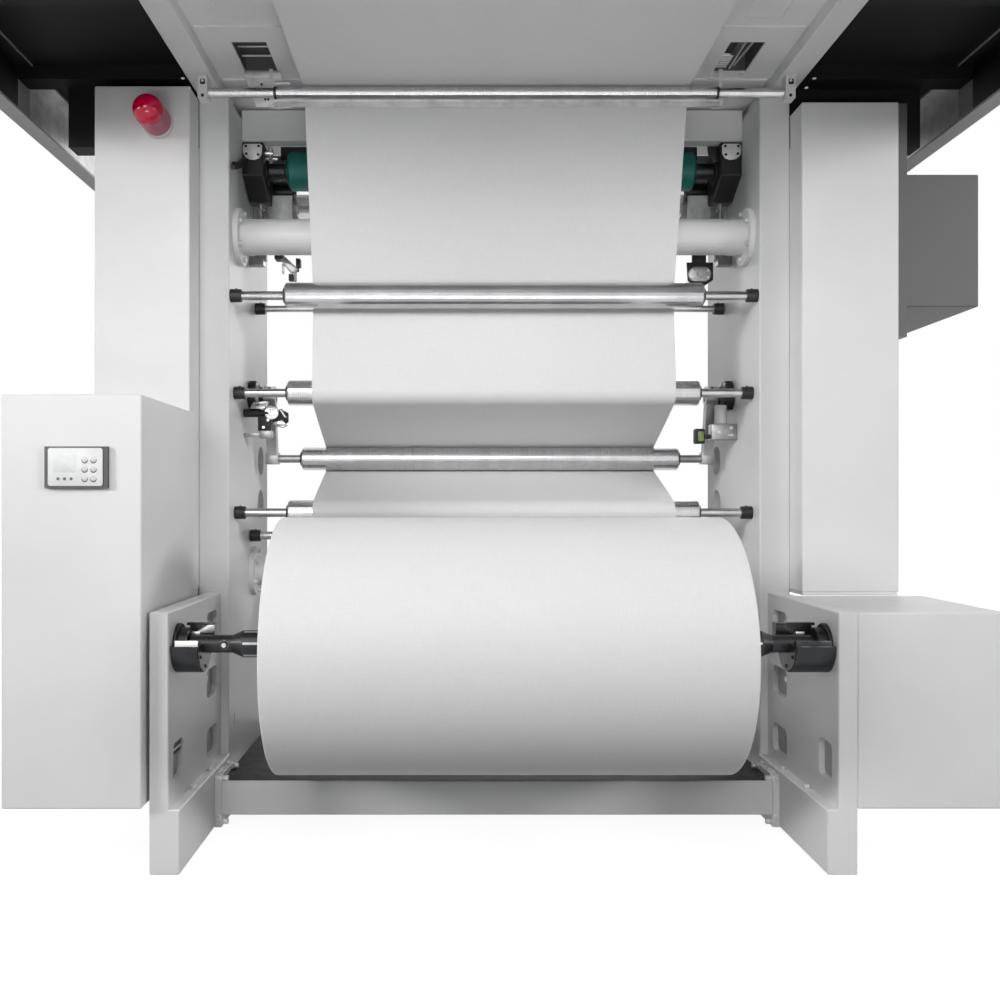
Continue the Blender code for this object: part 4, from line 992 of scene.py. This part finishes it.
def idlerGuard():  # folded sheet under the overhead idler, hung from the bridge by two straps
    look = guardLook
    floorZ = look["low"] + look["sheet"]
    shape = block((-look["half"], look["front"], look["low"]), (look["half"], look["back"], floorZ), 0.0006)
    merge(shape, block((-look["half"], look["front"], look["low"]),
                       (look["half"], look["front"] + look["sheet"], look["low"] + look["lip"]), 0.0006))
    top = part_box("bridge_panel")[0].z
    for sign in (-1.0, 1.0):
        x0, x1 = sideSpan(sign, *look["strap"])
        merge(shape, block((x0, 0.3720, look["low"]), (x1, 0.3745, top), 0.0006))
        y0, y1 = sorted((sign * 0.6900, sign * look["strap"][1]))
        merge(shape, block((y0, 0.3480, look["low"]), (y1, 0.3745, floorZ), 0.0006))
    finishPiece("idlerGuard", shape, "paleSheet")


guidePieces = {  # folded plate that holds the edge guide behind the overhead idler's left end
    "edgeGuideBracket": (
        "paleSheet",
        (plate, [(-0.771, 2.287), (-0.707, 2.287), (-0.707, 2.358), (-0.719, 2.384), (-0.807, 2.384)], 0.386, 0.389),
        (block, (-0.809, 0.382, 2.384), (-0.691, 0.412, 2.398)),
        (block, (-0.713, 0.376, 2.358), (-0.661, 0.388, 2.364)),
        (block, (-0.711, 0.378, 2.283), (-0.657, 0.388, 2.289)),
        (plate, [(-0.862, 2.336), (-0.736, 2.336), (-0.728, 2.347), (-0.856, 2.347)], 0.373, 0.383)),
    "edgeGuideScrews": (
        "castBlack",
        (frontHeads, 0.003, *[(0.007, (x, 0.386, z)) for x, z in ((-0.742, 2.312), (-0.732, 2.312), (-0.754, 2.360))])),
}


seamLook = {"gap": 0.0015, "inset": 0.004, "leftLow": 0.600}


def coverSkirts():  # plinths that close the covers down to the stands and the drive housing
    shape = bmesh.new()
    for node, under in (("left_frame_cover", "left_roll_stand"), ("right_frame_cover", "drive_housing")):
        low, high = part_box(node)
        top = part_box(under)[1].z + seamLook["gap"] if under == "drive_housing" else seamLook["leftLow"]
        inset = seamLook["inset"]
        merge(shape, block((low.x + inset, low.y + inset, top), (high.x - inset, high.y - inset, low.z + 0.001), 0.001))
    finishPiece("coverSkirts", shape, "whiteCoat")


tieFlangeBolts()
standPockets()
footBolts()
idlerPlates()
idlerGuard()
assemble(guidePieces)
coverSkirts()
print("frame fittings made")


# Nip fittings

def union(across, height, axis, at):
    shape = screwHead(across, height)
    carry(shape, pointing(axis, at))
    return shape


nipLook = {
    "front": 0.690, "thick": 0.0045, "shield": (0.8140, 0.8815), "low": 2.226, "top": 2.283, "screw": (0.009, 0.003),
    "sealAt": 0.8100, "seal": [(0, 0.0296), (0, 0.046), (0.004, 0.046), (0.007, 0.041), (0.007, 0.0296)],
    "swing": [(0.738, 2.160), (0.836, 2.160), (0.846, 2.128), (0.790, 2.020), (0.760, 1.985), (0.738, 1.985)],
    "swingY": (0.872, 0.880), "back": ((0.736, 0.9970, 2.1000), (0.8846, 1.0020, 2.3550)),
    "cheek": [(0.876, 2.120), (1.000, 2.120), (1.030, 2.060), (0.965, 1.950), (0.876, 1.950)],
    "cheekX": (0.8780, 0.8846),
    "journalAt": 0.7325, "journals": (("nip_roller", "nipJournals", 0.0262, 0.0288, 0.0760),
                                      ("pull_drum", "drumJournals", 0.0302, 0.0330, 0.1500)),
}
nipPieces = {
    "nipBracket": (
        "castBlack",
        (plate, [(0.8095, 2.286), (0.772, 2.286), (0.776, 2.256), (0.790, 2.230), (0.8095, 2.230)],
         0.718, 0.730, 0.001)),
    "nipCrossBar": ("slateCoat", (block, (-0.802, 0.985, 2.336), (0.802, 0.9968, 2.384))),
    "nipLever": (
        "castBlack",
        (slab, [(0.508, 2.142), (0.512, 2.133), (0.530, 2.136), (0.640, 2.182), (0.6895, 2.200), (0.6895, 2.232),
                (0.655, 2.222), (0.600, 2.186), (0.515, 2.158)], "x", -0.8810, -0.8690, 0.002)),
    "nipUnions": (
        "zincScrew",
        (rod, (-0.8095, 0.722, 2.262), (-0.780, 0.722, 2.262), 0.0085),
        (rod, (-0.8095, 0.735, 2.247), (-0.780, 0.735, 2.247), 0.0065),
        (rod, (-0.790, 0.722, 2.226), (-0.790, 0.722, 2.276), 0.0070),
        (union, 0.016, 0.008, (0, 0, 1), (-0.790, 0.722, 2.272)),
        (union, 0.014, 0.010, (1, 0, 0), (-0.780, 0.735, 2.247))),
}


def nipFittings():
    look = nipLook
    shields = bmesh.new()
    screws = bmesh.new()
    seals = bmesh.new()
    plates = bmesh.new()
    middle = axisOf["nip_roller"]
    (inner, outer), low, top, face = look["shield"], look["low"], look["top"], look["front"] - look["thick"]
    outline = [(inner + 0.006, top), (inner, top - 0.006), (inner, low + 0.022), (inner + 0.010, low + 0.006),
               (inner + 0.026, low), (outer - 0.022, low + 0.002), (outer - 0.006, low + 0.012),
               (outer, low + 0.024), (outer, top - 0.006), (outer - 0.006, top)]
    corners = ((inner + 0.011, top - 0.009), (outer - 0.011, top - 0.009),
               (inner + 0.013, low + 0.018), (outer - 0.013, low + 0.021))
    for sign in (-1.0, 1.0):
        merge(shields, plate([(sign * x, z) for x, z in outline], face, look["front"] - 0.0002, 0.0012))
        for x, z in corners:
            seat(screws, socketHead(*look["screw"]), towardsFront, (sign * x, face, z))
        ring = lathe(look["seal"], 36, closed=True)
        seat(seals, ring, (-sign, 0, 0), (sign * look["sealAt"], middle.y, middle.z))
        merge(plates, plate([(sign * x, z) for x, z in look["swing"]], *look["swingY"], 0.001))
        merge(plates, sideBlock(sign, *look["back"], 0.001))
        merge(plates, slab(look["cheek"], "x", *sideSpan(sign, *look["cheekX"]), 0.001))
    finishPiece("nipShields", shields, "paleSheet")
    finishPiece("nipShieldScrews", screws, "castBlack")
    finishPiece("nipSeals", seals, "blackPlastic")
    finishPiece("nipSwingPlates", plates, "paleSheet")
    for body, name, inner, outer, reach in nipLook["journals"]:
        middle = axisOf[body]
        journals = bmesh.new()
        for sign in (-1.0, 1.0):
            sleeve = [(0.0, inner), (0.0, outer + 0.010), (0.008, outer + 0.010), (0.014, outer),
                      (reach - 0.002, outer), (reach, outer - 0.002), (reach, inner)]
            seat(journals, lathe(sleeve, 36, closed=True), (sign, 0, 0),
                 (sign * nipLook["journalAt"], middle.y, middle.z))
        finishPiece(name, journals, "blackenedSteel", body=body)


clampPieces = {  # toggle and cap that hang behind the upper tie tube
    "toggleArm": (
        "castAlloy",
        (plate, [(-0.762, 1.890), (-0.742, 1.894), (-0.690, 1.846), (-0.700, 1.832), (-0.716, 1.830)], 0.700, 0.718,
         0.002),
        (block, (-0.746, 0.702, 1.828), (-0.738, 0.716, 1.862)),
        (rod, (-0.700, 0.710, 1.836), (-0.700, 0.710, 1.800), 0.0055)),
    "toggleEnds": (
        "castBlack",
        (block, (-0.772, 0.696, 1.878), (-0.744, 0.742, 1.900), 0.002),
        (block, (-0.696, 0.697, 1.852), (-0.680, 0.728, 1.880), 0.002),
        (block, (-0.722, 0.699, 1.802), (-0.706, 0.722, 1.826), 0.002),
        (plate, [(-0.700, 1.888), (-0.684, 1.884), (-0.690, 1.840), (-0.698, 1.838)], 0.720, 0.732, 0.001)),
    "clampCap": (
        "castAlloy",
        (plate, softRectangle((0.700, 1.800), (0.780, 1.852), 0.024, 8), 0.702, 0.712, 0.003),
        (rod, (0.740, 0.702, 1.826), (0.740, 0.696, 1.826), 0.010)),
    "clampScrews": (
        "zincScrew",
        (frontHeads, 0.003, *[(0.008, (x, 0.702, z)) for z in (1.814, 1.838) for x in (0.712, 0.768)])),
    "clampBack": (
        "castBlack",
        (plate, [(0.696, 1.870), (0.790, 1.870), (0.790, 1.808), (0.752, 1.782), (0.728, 1.782), (0.700, 1.806)],
         0.7125, 0.724, 0.002),
        (block, (0.716, 0.716, 1.866), (0.766, 0.728, 1.906), 0.002)),
}


nipFittings()
assemble(nipPieces)
assemble(clampPieces)
print("nip fittings made")


# Dancer fittings

dancerLook = {
    "house": [(-0.060, -0.016), (-0.034, -0.046), (0.034, -0.046), (0.060, -0.016), (0.042, 0.046), (0.020, 0.060),
              (-0.020, 0.060), (-0.042, 0.046)], "houseX": (0.8580, 0.8846), "houseRim": 0.003,
    "ring": [(0.0, 0.0162), (0.0, 0.040), (0.008, 0.040), (0.010, 0.036), (0.010, 0.0162)], "ringAt": 0.8485,
    "screws": ((-0.046, -0.010), (0.046, -0.010), (-0.028, 0.046), (0.028, 0.046)), "screw": (0.010, 0.004),
    "hub": [(0.0, 0.0155), (0.0, 0.0275), (0.0015, 0.0290), (0.0425, 0.0290), (0.044, 0.0275), (0.044, 0.0155)],
    "hubAt": 0.7900, "key": ((0.790, -0.014, 0.024), (0.834, 0.014, 0.040)),
    "clamp": ((0.788, -0.022, -0.020), (0.836, 0.022, 0.024)),
    "knob": ((-0.015, 0.032), (-0.021, 0.032)), "knobAt": 0.812, "knobRadius": 0.006,
}


def dancerFittings():
    look = dancerLook
    pivot = axisOf["dancer_arms"]
    houses = bmesh.new()
    knobs = bmesh.new()
    hubs = bmesh.new()
    hubScrews = bmesh.new()
    outline = [(pivot.y + y, pivot.z + z) for y, z in look["house"]]
    for sign in (-1.0, 1.0):
        merge(houses, slab(outline, "x", *sideSpan(sign, *look["houseX"]), look["houseRim"]))
        ringAt = (sign * look["ringAt"], pivot.y, pivot.z)
        seat(houses, lathe(look["ring"], 32, closed=True), (-sign, 0, 0), ringAt)
        for y, z in look["screws"]:
            spot = (sign * look["houseX"][0], pivot.y + y, pivot.z + z)
            seat(hubScrews, socketHead(*look["screw"]), (-sign, 0, 0), spot)
        hubAt = (sign * look["hubAt"], pivot.y, pivot.z)
        seat(hubs, lathe(look["hub"], 32, closed=True), (sign, 0, 0), hubAt)
        for corners, middle in ((look["key"], pivot), (look["clamp"], axisOf["dancer_roller"])):
            low, high = [(x, middle.y + y, middle.z + z) for x, y, z in corners]
            merge(hubs, sideBlock(sign, low, high, 0.002))
        ends = [(sign * look["knobAt"], pivot.y + y, pivot.z + z) for y, z in look["knob"]]
        merge(knobs, rod(*ends, look["knobRadius"]))
    finishPiece("dancerHouses", houses, "castBlack")
    finishPiece("dancerHouseScrews", hubScrews, "zincScrew")
    finishPiece("dancerHubs", hubs, "castAlloy", body="dancer_arms")
    finishPiece("dancerHubScrews", knobs, "castBlack", body="dancer_arms")


def gauge(at):
    profile = [(0, 0), (0, 0.0265), (0.010, 0.0265), (0.013, 0.0235), (0.013, 0.012), (0.010, 0.010), (0.010, 0)]
    shape = lathe(profile, 36)
    carry(shape, pointing(towardsFront, at))
    return shape


regulatorPieces = {  # air regulator on its bracket, in front of the left dancer arm
    "regulatorBody": (
        "castBlack",
        (rod, (-0.8846, 0.722, 1.333), (-0.8260, 0.722, 1.333), 0.0145),
        (rod, (-0.8260, 0.722, 1.333), (-0.7960, 0.722, 1.333), 0.0120),
        (plate, softRectangle((-0.835, 1.268), (-0.788, 1.336), 0.008), 0.718, 0.726, 0.001),
        (sixSided, (-0.756, 0.732, 1.318), 0.033, 0.012)),
    "regulatorClamp": (
        "polishedClamp",
        (plate, [(-0.862, 1.347), (-0.848, 1.372), (-0.799, 1.374), (-0.808, 1.348)], 0.706, 0.742, 0.001),
        (gauge, (-0.785, 0.724, 1.335)),
        (plate, [(-0.780, 1.302), (-0.748, 1.310), (-0.728, 1.288), (-0.746, 1.280), (-0.784, 1.290)], 0.716, 0.730,
         0.0015),
        (rod, (-0.756, 0.728, 1.346), (-0.736, 0.728, 1.316), 0.0075)),
    "regulatorScrews": (
        "zincScrew",
        (frontHeads, 0.005, *[(0.010, at) for at in ((-0.795, 0.712, 1.339), (-0.776, 0.712, 1.334),
                                                     (-0.798, 0.718, 1.308), (-0.814, 0.718, 1.282))])),
    "regulatorBlock": (
        "castAlloy",
        (block, (-0.829, 0.708, 1.244), (-0.783, 0.736, 1.270), 0.002),
        (block, (-0.8846, 0.714, 1.250), (-0.828, 0.730, 1.262), 0.001)),
}
sensorPieces = {  # air cylinder, valve block and a small sensor on the right frame
    "sensorCylinder": ("whiteCoat", (rod, (0.8315, 0.768, 1.296), (0.8315, 0.768, 1.366), 0.0215, 32, 0.003)),
    "valveBlock": ("castAlloy", (block, (0.792, 0.742, 1.240), (0.8846, 0.788, 1.296), 0.003)),
    "valveScrews": (
        "zincScrew",
        (frontHeads, 0.003, (0.012, (0.818, 0.742, 1.266)), (0.008, (0.854, 0.742, 1.256)),
         (0.013, (0.862, 0.742, 1.282)), (0.010, (0.864, 0.742, 1.256)))),
    "sensorBody": (
        "castBlack",
        (block, (0.734, 0.746, 1.226), (0.770, 0.780, 1.280), 0.005),
        (block, (0.770, 0.760, 1.244), (0.7925, 0.774, 1.260), 0.002),
        (sixSided, (0.840, 0.758, 1.400), 0.024, 0.014),
        (rod, (0.840, 0.764, 1.400), (0.840, 0.772, 1.399), 0.010),
        (block, (0.833, 0.762, 1.364), (0.847, 0.774, 1.396), 0.002)),
    "sensorFace": ("limeLens", (plate, softRectangle((0.745, 1.235), (0.765, 1.270), 0.004), 0.7448, 0.7465, 0.0004)),
}


dancerFittings()
assemble(regulatorPieces)
assemble(sensorPieces)
print("dancer fittings made")


# Bridge and walkway fittings

windowLook = {
    "span": (0.705, 0.811), "length": 0.203, "open": 0.208, "closed": (-0.842, -0.492, -0.142, 0.558),
    "wellTop": 0.048, "wall": 0.002, "screws": (0.190, 0.255), "screwX": 0.952, "screw": (0.011, 0.002),
    "bars": ((0.292, 0.003), (0.352, 0.006)), "slats": 6, "slatStart": 0.330, "slatPitch": 0.0145, "slatDepth": 0.008,
    "gap": 0.0008, "fit": 0.001,
}


def bridgeWindows():  # wells over the last pair of windows, blanking plates in the others, lips and slats
    look = windowLook
    low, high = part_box("bridge_panel")
    wells = bmesh.new()
    blanks = bmesh.new()
    slats = bmesh.new()
    lips = bmesh.new()
    screws = bmesh.new()
    back = look["open"] + look["length"]
    for side, sign in sideSigns.items():
        x0, x1 = sideSpan(sign, *look["span"])
        top = high.z + look["wellTop"]
        wall = look["wall"]
        merge(wells, block((x0 - wall, look["open"] - wall, top), (x1 + wall, back + wall, top + wall), 0.0004, 1))
        for a0, a1 in ((x0 - wall, x0), (x1, x1 + wall)):
            merge(wells, block((a0, look["open"] - wall, high.z + 0.0003), (a1, back + wall, top), 0.0004, 1))
        for b0, b1 in ((look["open"] - wall, look["open"]), (back, back + wall)):
            merge(wells, block((x0, b0, high.z + 0.0003), (x1, b1, top), 0.0004, 1))
        merge(lips, block((x0 - 0.006, back + 0.001, low.z - 0.0088), (x1 + 0.002, back + 0.004, low.z + 0.0062),
                          0.0006))
        for y in look["closed"]:
            gap = look["gap"]
            merge(blanks, block((x0 + gap, y + gap, high.z - 0.0052),
                                (x1 - gap, y + look["length"] - gap, high.z - gap), 0.0004, 1))
        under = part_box(side + "_bridge_beam")[0].z
        for y in look["screws"]:
            seat(screws, socketHead(*look["screw"]), (0, 0, -1), (sign * look["screwX"], y, under))
    x0, x1 = sideSpan(-1.0, *look["span"])
    fit, slatStart, depth = look["fit"], look["slatStart"], look["slatDepth"]
    for y, width in look["bars"]:
        merge(slats, block((x0 + fit, y, high.z + 0.020), (x1 - fit, y + width, high.z + 0.024), 0.0006, 1))
    x0, x1 = look["span"]
    for step in range(look["slats"]):
        y = slatStart + look["slatPitch"] * step
        merge(slats, block((x0 + fit, y, high.z + 0.010), (x0 + 0.044, y + depth, high.z + 0.013), 0.0006, 1))
    merge(slats, block((x0 + fit, slatStart - depth, high.z + 0.012), (x0 + 0.034, slatStart, high.z + 0.015),
                       0.0006, 1))
    ducts = block((x0 + 0.050, 0.2110, high.z + 0.004), (x0 + 0.056, back - 0.002, high.z + 0.040), 0.001, 1)
    merge(ducts, rod((x0 + 0.086, 0.214, high.z + 0.016), (x0 + 0.066, back - 0.004, high.z + 0.016), 0.004, 12))
    finishPiece("windowWells", wells, "slateCoat")
    finishPiece("windowBlanks", blanks, "whiteCoat")
    finishPiece("windowSlats", slats, "paleSheet")
    finishPiece("windowLips", lips, "paleSheet")
    finishPiece("windowDucts", ducts, "greyCoat")
    finishPiece("beamScrews", screws, "paleScrew")


deckLook = {
    "joists": (-0.95, -0.50, -0.05), "joistX": (0.9880, 1.5510), "joistHalf": 0.020, "joistDepth": 0.042,
    "bolts": (-0.80, -0.30, 0.20), "bolt": (0.020, 0.010), "boltAt": (1.5520, -0.095),
    "crossbar": ((1.4205, 0.4130, -0.0470), (1.5515, 0.4940, -0.0004)),
    "web": (1.5505, 1.5518, -0.1800), "flange": (1.5035, 1.5505, -0.0100), "linerTop": -0.0090,
    "dark": (-1.1400, 0.4120), "pale": (0.5000, 1.1400),
}


def deckJoists():  # what shows between decks and girders: joists, a crossbar, black liners on the girders' inner faces ahead of the crossbar, and pale sheets behind it that are painted daylight falling on the girders
    look = deckLook
    joists = bmesh.new()
    paintedDaylight = bmesh.new()
    bolts = bmesh.new()
    for side, sign in sideSigns.items():
        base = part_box(side + "_platform_deck")[0].z
        x0, x1 = look["joistX"]
        for y in look["joists"]:
            low = (x0, y - look["joistHalf"], base - look["joistDepth"])
            merge(joists, sideBlock(sign, low, (x1, y + look["joistHalf"], base - 0.0004), 0.002, 1))
        for y in look["bolts"]:
            boltX, drop = look["boltAt"]
            seat(bolts, screwHead(*look["bolt"]), (-sign, 0, 0), (sign * boltX, y, base + drop))
        low, high = [(x, y, base + z) for x, y, z in look["crossbar"]]
        merge(joists, sideBlock(sign, low, high, 0.001, 1))
        for x0, x1, bottom in (look["web"], look["flange"]):
            # behind the crossbar the pale sheets are painted daylight on the girders' inner faces; ahead of it the
            # liners are black
            for target, (y0, y1) in ((joists, look["dark"]), (paintedDaylight, look["pale"])):
                merge(target, sideBlock(sign, (x0, y0, base + bottom), (x1, y1, base + look["linerTop"])))
    finishPiece("girderPaintedDaylight", paintedDaylight, "paleSheet")
    finishPiece("deckJoists", joists, "blackCoat")
    finishPiece("girderBolts", bolts, "zincScrew")


bridgeWindows()
deckJoists()
print("bridge fittings made")


# Light, floor and camera

stageLook = {"floorSize": 60.0, "floorColour": (0.12, 0.12, 0.12, 1.0), "wall": (1.0, 1.0, 1.0, 1.0), "ambient": 0.05}
lampLooks = {
    "frontSoftbox": {"at": (-1.6, -7.6, 3.2), "to": (-0.5, 0.4, 1.6), "size": (3.2, 1.2), "spread": 60.0,
                     "power": 18.0},
    "raisedSoftbox": {"at": (-0.8, -8.0, 5.0), "to": (-0.2, 0.4, 1.3), "size": (3.4, 1.4), "spread": 60.0,
                      "power": 4.0},
    "highSoftbox": {"at": (-0.8, -4.8, 6.0), "to": (0.0, 0.0, 0.8), "size": (3.4, 2.0), "spread": 120.0, "power": 34.0},
    "rightSoftbox": {"at": (5.6, -3.6, 3.0), "to": (-0.9, 0.3, 1.2), "size": (2.0, 1.6), "spread": 80.0, "power": 41.0},
    "leftSoftbox": {"at": (-5.6, -3.6, 3.0), "to": (0.9, 0.3, 1.2), "size": (2.0, 1.6), "spread": 80.0, "power": 47.0},
    "lowFill": {"at": (0.0, -3.4, 0.06), "to": (0.0, -0.6, 2.4), "size": (3.0, 0.8), "spread": 60.0, "power": 14.5},
    "topSoftbox": {"at": (0.0, 0.6, 7.5), "to": (0.0, 0.6, 1.0), "size": (7.0, 7.0), "spread": 180.0, "power": 60.0},
    "rearSoftbox": {"at": (1.5, 7.5, 4.5), "to": (0.0, 0.4, 1.2), "size": (6.0, 4.0), "spread": 180.0, "power": 150.0},
}
cameraLook = {"at": (-0.1345, -2.674, 1.012), "lens": 34.2, "sensor": 36.0, "shift": (0.046, 0.003)}


def stageMaterial(name, colour, whiten):
    made = bpy.data.materials.new(name)
    made.use_nodes = True
    tree = made.node_tree
    shader = tree.nodes["Principled BSDF"]
    shader.inputs["Base Color"].default_value = colour
    shader.inputs["Roughness"].default_value = 0.9
    path = addNode(tree, "ShaderNodeLightPath")
    seen = calculate(tree, "MAXIMUM", path.outputs["Is Camera Ray"], path.outputs["Is Glossy Ray"])
    shader.inputs["Emission Color"].default_value = stageLook["wall"]
    tree.links.new(calculate(tree, "MULTIPLY", seen, whiten), shader.inputs["Emission Strength"])
    return made


def layFloor():
    shape = bmesh.new()
    bmesh.ops.create_grid(shape, x_segments=4, y_segments=4, size=stageLook["floorSize"] / 2.0)
    mesh = bpy.data.meshes.new("floor")
    shape.to_mesh(mesh)
    shape.free()
    mesh.materials.append(stageMaterial("paleFloor", stageLook["floorColour"], 0.93))
    floor = bpy.data.objects.new("floor", mesh)
    bpy.context.scene.collection.objects.link(floor)


def hangLamps():
    for name, look in lampLooks.items():
        lamp = bpy.data.lights.new(name, "AREA")
        lamp.shape = "RECTANGLE"
        lamp.size, lamp.size_y = look["size"]
        lamp.energy = look["power"]
        lamp.spread = math.radians(look["spread"])
        holder = bpy.data.objects.new(name, lamp)
        holder.location = look["at"]
        holder.rotation_euler = (Vector(look["to"]) - Vector(look["at"])).to_track_quat("-Z", "Y").to_euler()
        bpy.context.scene.collection.objects.link(holder)


def paintSky():
    world = bpy.data.worlds.new("studio")
    world.use_nodes = True
    bpy.context.scene.world = world
    tree = world.node_tree
    back = tree.nodes["Background"]
    path = addNode(tree, "ShaderNodeLightPath")
    glossy = calculate(tree, "MAXIMUM", path.outputs["Is Camera Ray"], path.outputs["Is Glossy Ray"])
    seen = calculate(tree, "MAXIMUM", glossy, path.outputs["Is Transmission Ray"])
    back.inputs["Color"].default_value = stageLook["wall"]
    tree.links.new(spread(tree, seen, stageLook["ambient"], 1.0, 0.0, 1.0), back.inputs["Strength"])


def setCamera():
    camera = bpy.data.cameras.new("photoView")
    camera.lens = cameraLook["lens"]
    camera.sensor_width = cameraLook["sensor"]
    camera.shift_x, camera.shift_y = cameraLook["shift"]
    holder = bpy.data.objects.new("photoView", camera)
    holder.location = cameraLook["at"]
    holder.rotation_euler = (math.radians(90.0), 0.0, 0.0)
    bpy.context.scene.collection.objects.link(holder)
    bpy.context.scene.camera = holder


layFloor()
hangLamps()
paintSky()
setCamera()
bpy.context.scene.view_settings.view_transform = "Standard"
print("stage set")
